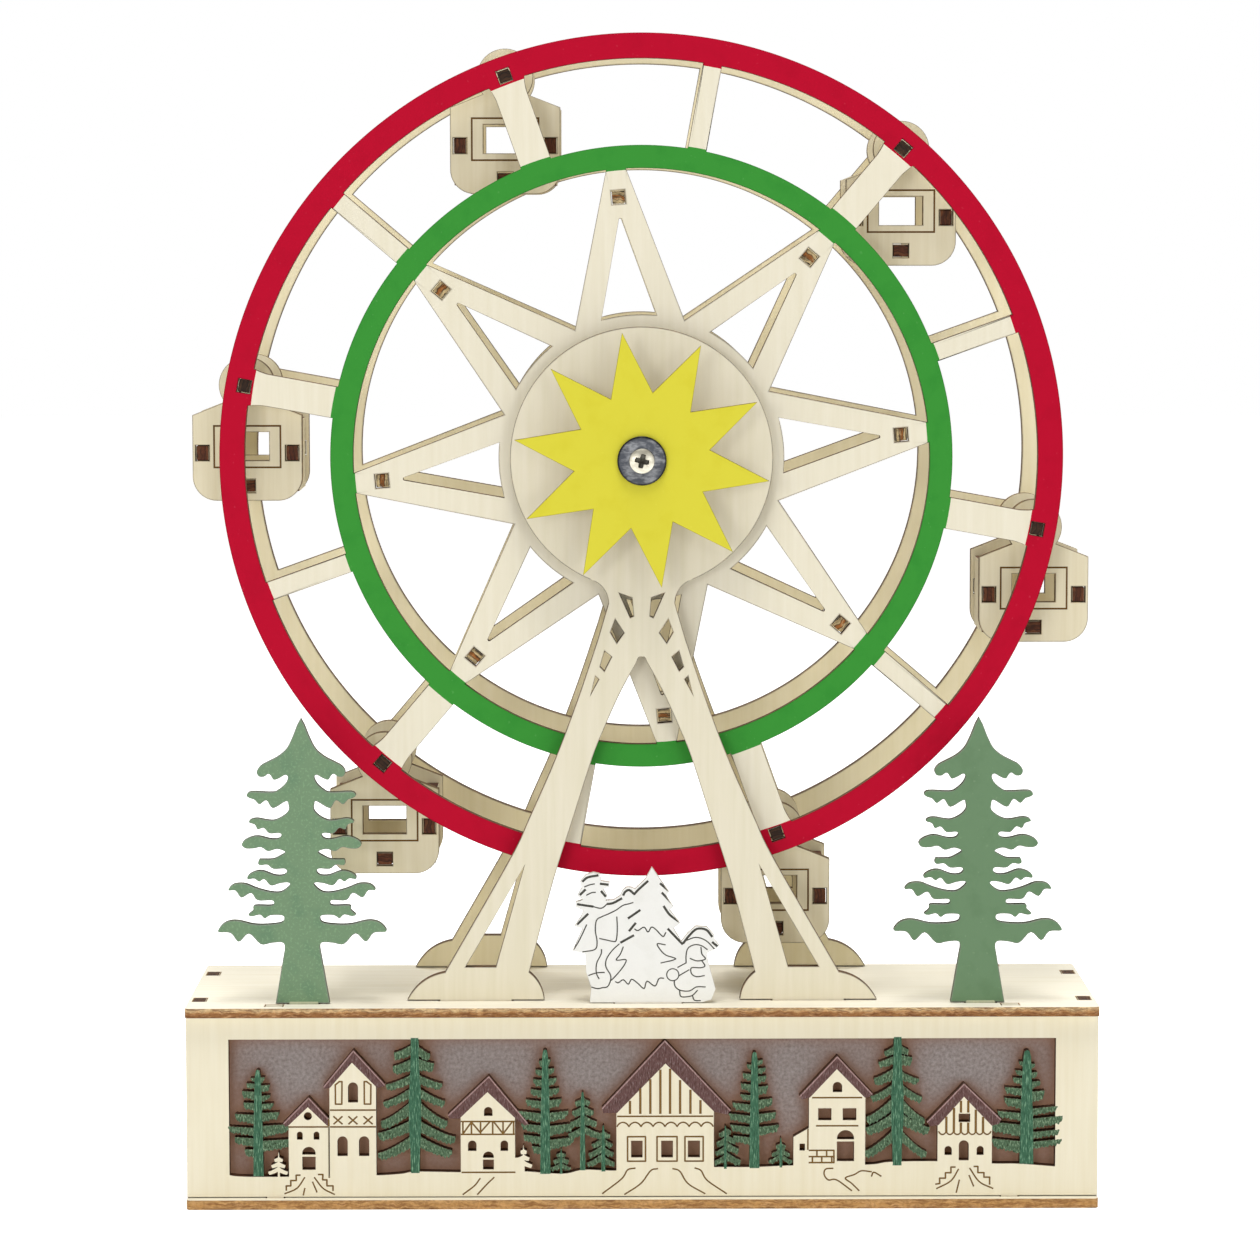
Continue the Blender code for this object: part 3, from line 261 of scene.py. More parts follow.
def sheet(steps, facing, origin, thickness, grain=90.0, bevel=0.12, halo=0.0, groove=0.25, seed=0):
    """The sheet that a list of flat outlines leaves, as arrays. A step is an outline and what is done inside it:
    wood, cut, groove, bare or a paint's name, and a later step goes over the earlier ones. A point (x, y) at a
    depth d lies at origin + x right + y up - d (right x up). The outline's corners go down four levels: the face's
    edge, moved in by the bevel's mitre, the outline at the bevel's depth, the same above the back, and the back's
    edge. A halo ring inside the face's edge carries the scorched margin, and grooves have a floor of their own."""
    flat, tri, state, paints = laid(steps)
    total, low, paint = len(flat), (state - 1) % 2 == 1, (state - 1) // 2
    edge, cell, other = edges_of(tri, total)
    border = other < 0
    rim, rim_cell = edge[border], cell[border]
    dip = ~border & ~low[cell] & low[other]
    step_down = edge[dip]

    after, before = np.zeros((total, 2)), np.zeros((total, 2))
    way = flat[rim[:, 1]] - flat[rim[:, 0]]
    after[rim[:, 0]] = way
    before[rim[:, 1]] = way
    shortest = np.minimum(np.hypot(*after.T), np.hypot(*before.T))[:, None]
    single = np.bincount(rim[:, 0], minlength=total) == 1
    shift = np.where(single[:, None], mitre(before, after), 0)
    face = flat + shift * np.minimum(bevel + halo, BEVEL_SHARE * shortest)
    lip = flat + shift * np.minimum(bevel, BEVEL_SHARE * shortest)
    levels = [(face, 0, FACE), (lip, 0, LIP), (flat, bevel, WALL), (flat, thickness - bevel, WALL),
              (lip, thickness, FACE), (face, groove, ENGRAVED)]
    spots = np.concatenate([np.column_stack([xy, np.full(total, float(depth))]) for xy, depth, _ in levels])
    scorch_and_shade = np.concatenate([np.full(total, value) for _, _, value in levels])

    def quads(pairs, upper, lower):
        """The faces that join two levels along these edges."""
        a, b = pairs[:, 0], pairs[:, 1]
        return np.column_stack([a + lower * total, b + lower * total, b + upper * total, a + upper * total])

    faces = [tri[~low], tri[low] + 5 * total, tri[:, ::-1] + 4 * total]
    slots = [paint[~low], np.zeros(low.sum(), int), np.zeros(len(tri), int)]
    rings = [quads(rim, 1 if halo else 0, 2), quads(rim, 2, 3), quads(rim, 3, 4), quads(step_down, 0, 5)]
    ring_slots = [np.where(low[rim_cell], 0, paint[rim_cell])] + [np.zeros(len(r), int) for r in rings[1:]]
    if halo:
        rings.append(quads(rim, 0, 1))
        ring_slots.append(paint[rim_cell])
    sunk = low[rim_cell]
    rings.append(quads(rim[sunk], 5, 0))
    ring_slots.append(np.zeros(sunk.sum(), int))
    used, where = np.unique(np.concatenate([f.ravel() for f in faces + rings]), return_inverse=True)
    cuts = np.cumsum([f.size for f in faces + rings])[:-1]
    parts = [part.reshape(f.shape) for part, f in zip(np.split(where, cuts), faces + rings)]

    right, up = (np.array(v, float) for v in facing)
    axes = np.array([right, up, -np.cross(right, up)])
    spots, scorch_and_shade = spots[used], scorch_and_shade[used]
    c, s = math.cos(math.radians(grain)), math.sin(math.radians(grain))
    along, across = spots[:, 0] * c + spots[:, 1] * s, spots[:, 1] * c - spots[:, 0] * s
    # The seed takes each sheet from another place of the same veneer
    layout = np.column_stack([along + 137.0 * seed, across + 61.0 * seed, spots[:, 2] / thickness])
    return {"co": np.array(origin, float) + spots @ axes, "tris": np.concatenate(parts[:3]),
            "quads": np.concatenate(parts[3:]), "slots": np.concatenate(slots + ring_slots), "paints": paints,
            "scorch_and_shade": scorch_and_shade, "sheet": layout}


def lathe(profile, origin):
    """A turned solid along Y: point (r, d) of the profile, taken round, is at origin + (r cos a, d, r sin a). The
    profile runs from the axis round to the axis again, or in a closed loop."""
    closed = profile[0, 0] > 0
    count = 96
    angle = np.linspace(0, 2 * np.pi, count, endpoint=False)
    radius, depth = profile[:, 0][:, None], profile[:, 1][:, None]
    co = np.stack([radius * np.cos(angle), depth + 0 * angle, radius * np.sin(angle)], -1)
    rows = len(profile)
    i, j = np.meshgrid(np.arange(rows if closed else rows - 1), np.arange(count), indexing="ij")
    a, b = i * count + j, i * count + (j + 1) % count
    c, d = (i + 1) % rows * count + (j + 1) % count, (i + 1) % rows * count + j
    quads = np.stack([a, b, c, d], -1).reshape(-1, 4)
    flat = co.reshape(-1, 3)
    return {"co": np.array(origin, float) + flat, "tris": np.zeros((0, 3), int), "quads": quads,
            "slots": np.zeros(len(quads), int), "paints": [], "scorch_and_shade": np.zeros(len(flat)),
            "sheet": np.column_stack([flat[:, 1], flat[:, 0], flat[:, 2]])}


def built(name, body, parts, base, replaces, turn_outwards=False):
    """One piece from the arrays of its parts; base is the material of what no paint covers."""
    start = np.cumsum([0] + [len(p["co"]) for p in parts])
    tris = np.concatenate([p["tris"] + s for p, s in zip(parts, start)])
    quads = np.concatenate([p["quads"] + s for p, s in zip(parts, start)])
    paints = sorted(set(itertools.chain.from_iterable(p["paints"] for p in parts)))
    materials, tri_slots, quad_slots = [base] + [MATERIALS[p] for p in paints], [], []
    for p in parts:
        table = np.array([0] + [paints.index(q) + 1 for q in p["paints"]])
        slots = table[p["slots"]]
        tri_slots.append(slots[:len(p["tris"])])
        quad_slots.append(slots[len(p["tris"]):])
    mesh = bpy.data.meshes.new(name)
    co = np.concatenate([p["co"] for p in parts]) * MM
    mesh.from_pydata(co.tolist(), [], tris.tolist() + quads.tolist())
    for material in materials:
        mesh.materials.append(material)
    mesh.polygons.foreach_set("material_index", np.concatenate(tri_slots + quad_slots).astype(np.int32))
    mesh.attributes.new("scorch_and_shade", "FLOAT", "POINT").data.foreach_set(
        "value", np.concatenate([p["scorch_and_shade"] for p in parts]).astype(np.float32))
    mesh.attributes.new("sheet", "FLOAT_VECTOR", "POINT").data.foreach_set(
        "vector", np.concatenate([p["sheet"] for p in parts]).astype(np.float32).ravel())
    if turn_outwards:
        weld(mesh)
    mesh.shade_smooth()
    mesh.set_sharp_from_angle(angle=math.radians(30))
    piece = bpy.data.objects.new(name, mesh)
    bpy.context.scene.collection.objects.link(piece)
    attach(piece, body)
    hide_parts(*replaces)


def weld(mesh):
    """Merges the points that a lathe leaves on its axis, and turns the faces outwards."""
    shape = bmesh.new()
    shape.from_mesh(mesh)
    bmesh.ops.remove_doubles(shape, verts=shape.verts, dist=1e-7)
    bmesh.ops.dissolve_degenerate(shape, edges=shape.edges, dist=1e-8)
    bmesh.ops.recalc_face_normals(shape, faces=shape.faces)
    shape.to_mesh(mesh)
    shape.free()


# Materials

def srgb(colour):
    """An sRGB hex colour as linear RGBA."""
    channels = np.array([(int(colour[1:], 16) >> shift & 255) / 255 for shift in (16, 8, 0)])
    linear = np.where(channels <= 0.04045, channels / 12.92, ((channels + 0.055) / 1.055) ** 2.4)
    return (*linear.tolist(), 1.0)


def add(tree, kind, inputs=None, **settings):
    """One node with its settings; an input is a value, or the output that it is joined to."""
    node = tree.nodes.new(kind)
    for name, value in settings.items():
        setattr(node, name, value)
    for name, value in (inputs or {}).items():
        socket = node.inputs[name]
        if isinstance(value, bpy.types.NodeSocket):
            tree.links.new(value, socket)
        else:
            socket.default_value = value
    return node


def ramp(tree, factor, *stops):
    """A colour ramp; each stop is a place and an sRGB hex colour."""
    node = add(tree, "ShaderNodeValToRGB", {"Fac": factor})
    elements = node.color_ramp.elements
    while len(elements) < len(stops):
        elements.new(0.5)
    for element, (place, colour) in zip(elements, stops):
        element.position = place
        element.color = srgb(colour)
    return node.outputs["Color"]


def mixed(tree, factor, first, second):
    """The first colour, with the second over it as far as the factor says; a colour is an sRGB hex or an output."""
    node = tree.nodes.new("ShaderNodeMix")
    node.data_type = "RGBA"
    for socket, value in ((node.inputs[0], factor), (node.inputs[6], first), (node.inputs[7], second)):
        if isinstance(value, bpy.types.NodeSocket):
            tree.links.new(value, socket)
        elif isinstance(value, str):
            socket.default_value = srgb(value)
        else:
            socket.default_value = value
    return node.outputs[2]


def noise(tree, vector, per_unit, detail, roughness=0.55):
    """Noise with this many features in each unit of the vector along each axis: in a millimetre of a sheet's layout,
    or in a metre of Object coordinates."""
    scaled = add(tree, "ShaderNodeMapping", {"Vector": vector, "Scale": per_unit}).outputs[0]
    return add(tree, "ShaderNodeTexNoise", {"Vector": scaled, "Scale": 1.0, "Detail": detail, "Roughness": roughness})


def shader(name, **constants):
    """A new material and its shader, with constants set on the shader's own sockets."""
    made = bpy.data.materials.new(name)
    made.use_nodes = True
    tree = made.node_tree
    principled = tree.nodes["Principled BSDF"]
    for socket, value in constants.items():
        principled.inputs[socket.replace("_", " ")].default_value = value
    return made, tree, principled


def laid_out(tree):
    """The piece's own flat layout: millimetres along and across the grain, and the share of the thickness."""
    return add(tree, "ShaderNodeAttribute", attribute_name="sheet").outputs["Vector"]


def scorched_or_shaded(tree):
    """How burnt the surface is, from 0 on a bare face to 1 on a cut wall and 2 in an engraved line; on the turned
    steel pieces, how far they are painted near black: as shade in the screw's cross recess, and over the washer's
    rim.
    """
    return add(tree, "ShaderNodeAttribute", attribute_name="scorch_and_shade").outputs["Fac"]


def ply_face(tree, layout, pale, dark, vein):
    """Birch veneer: growth streaks about 40 mm long and 2 mm wide, fibres drawn at 0.6 mm so that they show, clouds
    of tone 60 mm across, and a few short darker flecks."""
    flat = add(tree, "ShaderNodeVectorMath", {0: layout, 1: (1, 1, 0)}, operation="MULTIPLY").outputs[0]
    streaks = noise(tree, flat, (0.022, 0.42, 1), 4).outputs["Fac"]
    fibres = noise(tree, flat, (0.09, 1.5, 1), 3).outputs["Fac"]
    clouds = noise(tree, flat, (0.017, 0.03, 1), 2).outputs["Fac"]
    flecks = noise(tree, flat, (0.16, 1.9, 1), 2).outputs["Fac"]
    base = ramp(tree, streaks, (0.25, dark), (0.75, pale))
    base = mixed(tree, ramp(tree, fibres, (0.42, "#1A1A1A"), (0.7, "#000000")), base, vein)
    base = mixed(tree, ramp(tree, clouds, (0.35, "#404040"), (0.65, "#000000")), base, dark)
    fleck = ramp(tree, flecks, (0.7, "#000000"), (0.78, "#484848"))
    return mixed(tree, fleck, base, vein), fibres


def cut_edge(tree, layout, brown, veneer, plies):
    """A laser-cut ply edge: its plies, whose borders sway by half a millimetre every 4 mm, fibre streaks about 5 mm
    long that run along the edge, pale chips about 3 mm long, and scorch marks 1 mm or 9 mm wide."""
    sway = noise(tree, layout, (0.28, 0.28, 0.6), 2).outputs["Fac"]
    lift = add(tree, "ShaderNodeMapRange", {"Value": sway, "To Min": -0.35, "To Max": 0.35}).outputs[0]
    rise = add(tree, "ShaderNodeCombineXYZ", {"Z": lift}).outputs[0]
    bent = add(tree, "ShaderNodeVectorMath", {0: layout, 1: rise}, operation="ADD").outputs[0]
    depth = add(tree, "ShaderNodeSeparateXYZ", {0: bent}).outputs["Z"]
    layers = ramp(tree, depth, *plies)
    streaks = noise(tree, bent, (0.22, 0.22, 6.0), 4, 0.65).outputs["Fac"]
    marks = noise(tree, bent, (0.8, 0.8, 2.6), 3, 0.6).outputs["Fac"]
    burns = noise(tree, layout, (0.11, 0.11, 0.2), 2).outputs["Fac"]
    chips = noise(tree, bent, (0.35, 0.35, 4.0), 3, 0.6).outputs["Fac"]
    edge = mixed(tree, ramp(tree, chips, (0.52, "#000000"), (0.64, "#C8C8C8")), layers, veneer)
    edge = mixed(tree, ramp(tree, streaks, (0.4, "#D8D8D8"), (0.54, "#000000")), edge, brown)
    edge = mixed(tree, ramp(tree, marks, (0.38, "#A0A0A0"), (0.54, "#000000")), edge, brown)
    return mixed(tree, ramp(tree, burns, (0.4, "#606060"), (0.62, "#000000")), edge, brown)


def plywood(name, pale="#F0EAD8", dark="#E9E2CB", vein="#DED4B5", brown="#33241A", core="#6B4B30", veneer="#8A6A48",
            engraved="#85592C", plies=None):
    """Sanded birch ply, cut by laser: matt and nearly white on its face, browner on its cut edges, and brown in its
    engraved lines."""
    made, tree, principled = shader(name, Roughness=0.7, IOR=1.5, Specular_IOR_Level=0.25)
    layout, scorch_and_shade = laid_out(tree), scorched_or_shaded(tree)
    face, fibres = ply_face(tree, layout, pale, dark, vein)
    plies = plies or ((0.0, brown), (0.08, veneer), (0.27, veneer), (0.33, brown), (0.39, core), (0.62, core),
                      (0.68, brown), (0.74, veneer), (0.92, veneer), (1.0, brown))
    edge = cut_edge(tree, layout, brown, veneer, plies)
    factor = ramp(tree, scorch_and_shade, (0.0, "#000000"), (0.75, "#B4B4B4"), (0.9, "#FFFFFF"))
    deeper = add(tree, "ShaderNodeMath", {0: scorch_and_shade, 1: 1.0}, operation="SUBTRACT", use_clamp=True).outputs[0]
    wood = mixed(tree, deeper, mixed(tree, factor, face, edge), engraved)
    tree.links.new(wood, principled.inputs["Base Color"])
    bump = add(tree, "ShaderNodeBump", {"Height": fibres, "Strength": 0.12, "Distance": 0.0002})
    tree.links.new(bump.outputs[0], principled.inputs["Normal"])
    return made


def paint(name, colour, shade, light, margin, gloss=0.5, speck=0.7, grain=0.7, edge=(0.25, 1.0)):
    """Brushed water-based paint on ply: a thin satin film with hardly darker and lighter patches 8 mm wide, small
    pale specks where it has not filled the pores, fibres that show in its surface, and a scorched margin."""
    made, tree, principled = shader(name, Roughness=gloss, IOR=1.48, Specular_IOR_Level=0.08)
    layout, scorch_and_shade = laid_out(tree), scorched_or_shaded(tree)
    flat = add(tree, "ShaderNodeVectorMath", {0: layout, 1: (1, 1, 0)}, operation="MULTIPLY").outputs[0]
    patches = noise(tree, flat, (0.12, 0.12, 1), 3).outputs["Fac"]
    fibres = noise(tree, flat, (0.12, 1.6, 1), 3).outputs["Fac"]
    specks = noise(tree, flat, (grain, grain, 1), 2, 0.4).outputs["Fac"]
    base = ramp(tree, patches, (0.3, shade), (0.5, colour), (0.7, colour))
    base = mixed(tree, ramp(tree, specks, (speck, "#000000"), (speck + 0.07, "#A0A0A0")), base, light)
    factor = ramp(tree, scorch_and_shade, (edge[0], "#000000"), (edge[1], "#D0D0D0"))
    tree.links.new(mixed(tree, factor, base, margin), principled.inputs["Base Color"])
    bump = add(tree, "ShaderNodeBump", {"Height": fibres, "Strength": 0.1, "Distance": 0.0002})
    tree.links.new(bump.outputs[0], principled.inputs["Normal"])
    return made


def carved_paint(name, deep, colour, light, size, margin):
    """Paint over an engraved surface: dark in the cuts and rubbed pale on the ridges between them, in short
    strokes."""
    made, tree, principled = shader(name, Roughness=0.6, IOR=1.48, Specular_IOR_Level=0.15)
    layout, scorch_and_shade = laid_out(tree), scorched_or_shaded(tree)
    flat = add(tree, "ShaderNodeVectorMath", {0: layout, 1: (1, 1, 0)}, operation="MULTIPLY").outputs[0]
    ridges = noise(tree, flat, size, 3, 0.6).outputs["Fac"]
    patches = noise(tree, flat, (0.25, 0.3, 1), 2).outputs["Fac"]
    base = ramp(tree, ridges, (0.34, deep), (0.46, colour), (0.54, colour), (0.66, light))
    base = mixed(tree, ramp(tree, patches, (0.35, "#505050"), (0.6, "#000000")), base, deep)
    factor = ramp(tree, scorch_and_shade, (0.3, "#000000"), (1.0, "#B0B0B0"))
    tree.links.new(mixed(tree, factor, base, margin), principled.inputs["Base Color"])
    bump = add(tree, "ShaderNodeBump", {"Height": ridges, "Strength": 0.5, "Distance": 0.0004})
    tree.links.new(bump.outputs[0], principled.inputs["Normal"])
    return made


def frosted_film():
    """Frosted grey film behind the village, stained brown close to the cut edges in front of it, where they shelter
    it:
    partly smoke from the laser and partly painted shade, made paler again in the deepest shelter as painted light. A
    faint warm glow of its own is painted light too, as no lamp shines in the box."""
    # Painted light: a faint warm emission of the film itself
    made, tree, principled = shader("frosted_film", Roughness=0.7, IOR=1.49, Emission_Color=srgb("#FFA43C"),
                                    Emission_Strength=0.024)
    place = add(tree, "ShaderNodeTexCoord").outputs["Object"]
    grit = noise(tree, place, (900, 900, 900), 3, 0.6).outputs["Fac"]
    cloud = noise(tree, place, (45, 45, 45), 2).outputs["Fac"]
    base = ramp(tree, grit, (0.3, "#736D6D"), (0.7, "#9C9696"))
    base = mixed(tree, ramp(tree, cloud, (0.35, "#505050"), (0.65, "#000000")), base, "#786F6B")
    # Painted shade: brown where the cut edges shelter the film, partly smoke; its paler stop in the deepest shelter
    # is painted light
    shelter = add(tree, "ShaderNodeAmbientOcclusion", {"Distance": 0.012}, samples=8).outputs["AO"]
    smoke_and_shade_mask = ramp(tree, shelter, (0.4, "#F0F0F0"), (0.85, "#000000"))
    smoke_and_shade_colour = ramp(tree, shelter, (0.0, "#8A6248"), (0.12, "#B98F74"), (0.5, "#8E6653"))
    tree.links.new(mixed(tree, smoke_and_shade_mask, base, smoke_and_shade_colour), principled.inputs["Base Color"])
    bump = add(tree, "ShaderNodeBump", {"Height": grit, "Strength": 0.2, "Distance": 0.0002})
    tree.links.new(bump.outputs[0], principled.inputs["Normal"])
    return made


def metal(name, colour, wear_and_sheen, roughness):
    """Plated or blackened steel: fine random scratches about 0.5 mm apart in its gloss, worn patches 3 to 5 mm across
    in its colour, which on the dark washer are lighter and partly a painted sheen, and painted nearly black as shade
    in the screw's cross recess, and over the washer's outer rim."""
    made, tree, principled = shader(name, Metallic=1.0)
    place = add(tree, "ShaderNodeTexCoord").outputs["Object"]
    scratches = noise(tree, place, (2200, 900, 2200), 3, 0.7).outputs["Fac"]
    clouds = noise(tree, place, (190, 260, 420), 3, 0.65).outputs["Fac"]
    # Worn patches; on the dark washer they are lighter, partly a painted sheen
    base = mixed(tree, ramp(tree, clouds, (0.44, "#000000"), (0.6, "#D8D8D8")), colour, wear_and_sheen)
    # Painted shade: near black in the screw's cross recess; the washer's outer rim is painted near black too
    base = mixed(tree, ramp(tree, scorched_or_shaded(tree), (0.1, "#000000"), (0.9, "#F0F0F0")), base, "#151414")
    tree.links.new(base, principled.inputs["Base Color"])
    gloss = add(tree, "ShaderNodeMapRange",
                {"Value": scratches, "To Min": roughness - 0.1, "To Max": roughness + 0.14})
    tree.links.new(gloss.outputs[0], principled.inputs["Roughness"])
    bump = add(tree, "ShaderNodeBump", {"Height": scratches, "Strength": 0.15, "Distance": 0.0001})
    tree.links.new(bump.outputs[0], principled.inputs["Normal"])
    return made


def plastic(name, colour, fleck, roughness):
    """Moulded plastic with a fine spark-eroded grain, drawn at about 0.7 mm."""
    made, tree, principled = shader(name, Roughness=roughness, IOR=1.46)
    place = add(tree, "ShaderNodeTexCoord").outputs["Object"]
    grain = noise(tree, place, (1400, 1400, 1400), 2).outputs["Fac"]
    tree.links.new(mixed(tree, ramp(tree, grain, (0.4, "#000000"), (0.7, "#808080")), colour, fleck),
                   principled.inputs["Base Color"])
    bump = add(tree, "ShaderNodeBump", {"Height": grain, "Strength": 0.1, "Distance": 0.0001})
    tree.links.new(bump.outputs[0], principled.inputs["Normal"])
    return made


def beech():
    """Turned beech dowel: tan, with fine short ray flecks along its length."""
    made, tree, principled = shader("beech_dowel", Roughness=0.55, IOR=1.5)
    place = add(tree, "ShaderNodeTexCoord").outputs["Object"]
    grain = noise(tree, place, (900, 60, 900), 3).outputs["Fac"]
    rays = noise(tree, place, (1500, 260, 1500), 2).outputs["Fac"]
    base = ramp(tree, grain, (0.35, "#C9A877"), (0.65, "#E0C79A"))
    base = mixed(tree, ramp(tree, rays, (0.62, "#000000"), (0.72, "#909090")), base, "#A67D4C")
    tree.links.new(base, principled.inputs["Base Color"])
    bump = add(tree, "ShaderNodeBump", {"Height": grain, "Strength": 0.1, "Distance": 0.0002})
    tree.links.new(bump.outputs[0], principled.inputs["Normal"])
    return made


# Birch plywood: a matt, nearly white face, and edges that the laser has burnt
PLY = plywood("birch_ply_laser_cut", pale="#ECE6D3", dark="#E4DDC6")
# The front support: a slightly darker copy of the same birch; the darkening is painted shade from the star and the
# wheel
SHADED_SUPPORT_PLY = plywood("birch_ply_support_painted_shade", pale="#E9E2CE", dark="#E0D9C0", vein="#D5CAA9")
# The sheets behind: a warmer, slightly lighter copy of the same birch, painted as warm light bounced between the
# plates
BOUNCE_LIT_REAR_PLY = plywood("birch_ply_laser_cut_painted_bounce_light", pale="#F4EACB", dark="#ECE1BC", vein="#DCCDA0")
# The boards' edges: tan under the upper face, browner downwards
# The deck's face is paler than the other sheets, partly a painted light from above
PART_LIT_BOARD_PLY = plywood("birch_ply_board_part_painted_light", pale="#F7F2E2", dark="#EFE8D3", brown="#63381C", veneer="#D8AC7C",
                    plies=((0.0, "#B9925E"), (0.08, "#E6CB9C"), (0.3, "#DDBA88"), (0.46, "#C0905C"),
                           (0.6, "#A27042"), (0.92, "#966A3E"), (1.0, "#7E5530")))
BASE_PLY = plywood("birch_ply_base_board", pale="#F2ECD9", brown="#7A4E28", veneer="#DDB07A",
                   plies=((0.0, "#A8804F"), (0.12, "#CBA068"), (0.5, "#C6965A"), (0.86, "#CBA068"), (1.0, "#7E5A34")))
# The panels: dark edges round the village, and fine brown engraved lines
PANEL_PLY = plywood("birch_ply_panel", pale="#F1EAD4", dark="#EAE1C6", vein="#DED2AE", brown="#2E1C12",
                    core="#553723", veneer="#5F4029", engraved="#80602F")
# The gondolas: a greyer, darker face, partly their own tone and partly painted shade from the rim in front, and
# tenons burnt a deep red brown
GONDOLA_PART_SHADED_PLY = plywood("birch_ply_gondola_part_painted_shade", pale="#E7DEC4", dark="#DCD1B1", vein="#CDBE96", brown="#3E2C1A",
                      core="#7A5F3A", veneer="#94784C", engraved="#6A4A22")
CRADLE_PLY = plywood("birch_ply_tenon_scorched", pale="#EAE1C8", dark="#DDD2B2", brown="#2A140A", core="#5A2E1A",
                     veneer="#6B3E24")
# The bars: end grain in orange and brown stripes in the star, charred in the rim
BAR_PLY = plywood("birch_ply_bar_scorched", brown="#1E1209", core="#A5662E", veneer="#D9C08E")
PIVOT_PLY = plywood("birch_ply_bar_charred", brown="#140C08", core="#3A2416", veneer="#4A3220")
# Under the painted figures: edges and backs that some of the paint has run over
FIR_PLY = plywood("birch_ply_under_green", pale="#C9CDB0", dark="#B5BC9C", vein="#9AA585", brown="#2E2A1C",
                  core="#5C5F45", veneer="#6A7556")
WHITE_PLY = plywood("birch_ply_under_white", pale="#F4F2EA", dark="#ECE8DA", vein="#DDD6C2", brown="#C4BEB2",
                    core="#DAD5CA", veneer="#E6E2D9", engraved="#55554F")
# Water-based acrylic, brushed on, and thin washes over engraving
MATERIALS = {
    "rim_red": paint("red_acrylic_on_ply", "#B8052B", "#B20429", "#CC4056", "#6E0E20", gloss=0.55),
    "ring_green": paint("green_acrylic_on_ply", "#399136", "#348C33", "#66AE61", "#1F5A22", gloss=0.5),
    "star_yellow": paint("yellow_acrylic_on_ply", "#DAD240", "#D7CE3B", "#E2DB50", "#7A6420", gloss=0.55),
    "fir_green": paint("sage_green_acrylic_on_ply", "#769273", "#6C8B6E", "#93B58E", "#8A8C88", speck=0.57, grain=1.3,
                       edge=(0.1, 0.7)),
    "fir_green_dark": paint("dark_sage_acrylic_on_ply", "#6C8A69", "#668463", "#8AA482", "#84867E", speck=0.68,
                            edge=(0.1, 0.7)),
    "snow_white": paint("white_acrylic_on_ply", "#F0F0ED", "#EBEBE7", "#F7F7F5", "#C0BCB2", gloss=0.55),
    "bough_green": carved_paint("green_wash_on_engraved_ply", "#2F3A26", "#4F6950", "#8EA888", (0.9, 2.0, 1),
                                "#A0AE94"),
    "trunk_green": carved_paint("green_wash_on_engraved_trunk", "#2C4A38", "#3D6850", "#80AA8C", (0.35, 2.6, 1),
                                "#8AA88C"),
    "roof_mauve": carved_paint("mauve_wash_on_engraved_ply", "#4A332E", "#664A48", "#857070", (0.6, 2.6, 1),
                               "#A98C80"),
    # A painted highlight: a pale stroke just under each roof's upper edges
    "roof_line": carved_paint("mauve_wash_painted_edge_highlight", "#8A6C6A", "#A98A88", "#C0A4A0", (0.6, 2.6, 1), "#A98C80"),
}
FILM = frosted_film()
# Bluish dark steel whose lighter worn patches are partly a painted sheen, and bright warm zinc
BLACK_STEEL = metal("blackened_steel_washer", "#55585F", "#A4A6AA", 0.3)
ZINC = metal("zinc_plated_steel", "#DAD6C6", "#B4AF9E", 0.34)
BEECH = beech()
NYLON = plastic("moulded_nylon", "#E8E6DE", "#D8D4C8", 0.45)
BLACK = plastic("moulded_black_abs", "#1B1B1D", "#2A2A2D", 0.42)
BOARD = plastic("led_board_lacquer", "#F0F0EA", "#DCDCD2", 0.35)
WRAP = plastic("shrink_film_on_cell", "#8E979C", "#A9B0B2", 0.28)


# Camera, as fitted to the corners of the box and to the wheel's rim in a frame of 1260 by 1260

FOCAL_PIXELS, FRAME_PIXELS, SENSOR = 4378.9, 1260, 36.0
CAMERA_PLACE = (-0.0118, -1.4595, 0.3217)
CAMERA_TURN = (0.318, 5.256, -0.064)


def make_camera():
    """The camera's axes come from its yaw to the right, its pitch downwards and its roll, in degrees."""
    yaw, pitch, roll = np.radians(CAMERA_TURN).tolist()
    forward = np.array([math.sin(yaw) * math.cos(pitch), math.cos(yaw) * math.cos(pitch), -math.sin(pitch)])
    level = np.array([math.cos(yaw), -math.sin(yaw), 0.0])
    up = np.cross(level, forward)
    right = math.cos(roll) * level + math.sin(roll) * up
    up = -math.sin(roll) * level + math.cos(roll) * up
    data = bpy.data.cameras.new("camera")
    data.sensor_width, data.sensor_fit, data.lens = SENSOR, "HORIZONTAL", FOCAL_PIXELS / FRAME_PIXELS * SENSOR
    data.clip_start, data.clip_end = 0.1, 20.0
    camera = bpy.data.objects.new("camera", data)
    camera.matrix_world = Matrix(np.column_stack([
        np.vstack([np.column_stack([right, up, -forward]), np.zeros(3)]),
        [*CAMERA_PLACE, 1.0]]).tolist())
    bpy.context.scene.collection.objects.link(camera)
    bpy.context.scene.camera = camera


# Wheel: radii from the axle, and the angles of the star's points and of the pivots

GREEN_OUT, GREEN_IN, RIM_OUT, RIM_IN, HUB = 102.156, 94.656, 138.5, 130.25, 46.9
STAR_BAR, PIVOT = 85.506, 132.25
AXLE_HOLE = 5.3
BAR, MORTISE = 4.0, 4.6
STAR_ANGLES = 95.0 + 45.0 * np.arange(8)
PIVOT_ANGLES = 49.7 + 60.0 * np.arange(6)


def spoke(width, flare):
    """A spoke along +X from the green ring to the rim, with a small flare at the rim on a wide one."""
    half = width / 2
    end = bulged((RIM_IN - 5.0, half), (RIM_IN + 1, half + flare), -0.18) if flare else points((RIM_IN + 1, half))
    top = np.concatenate([points((GREEN_OUT - 3, half)), end])
    return np.concatenate([top, top[::-1] * [1, -1]])


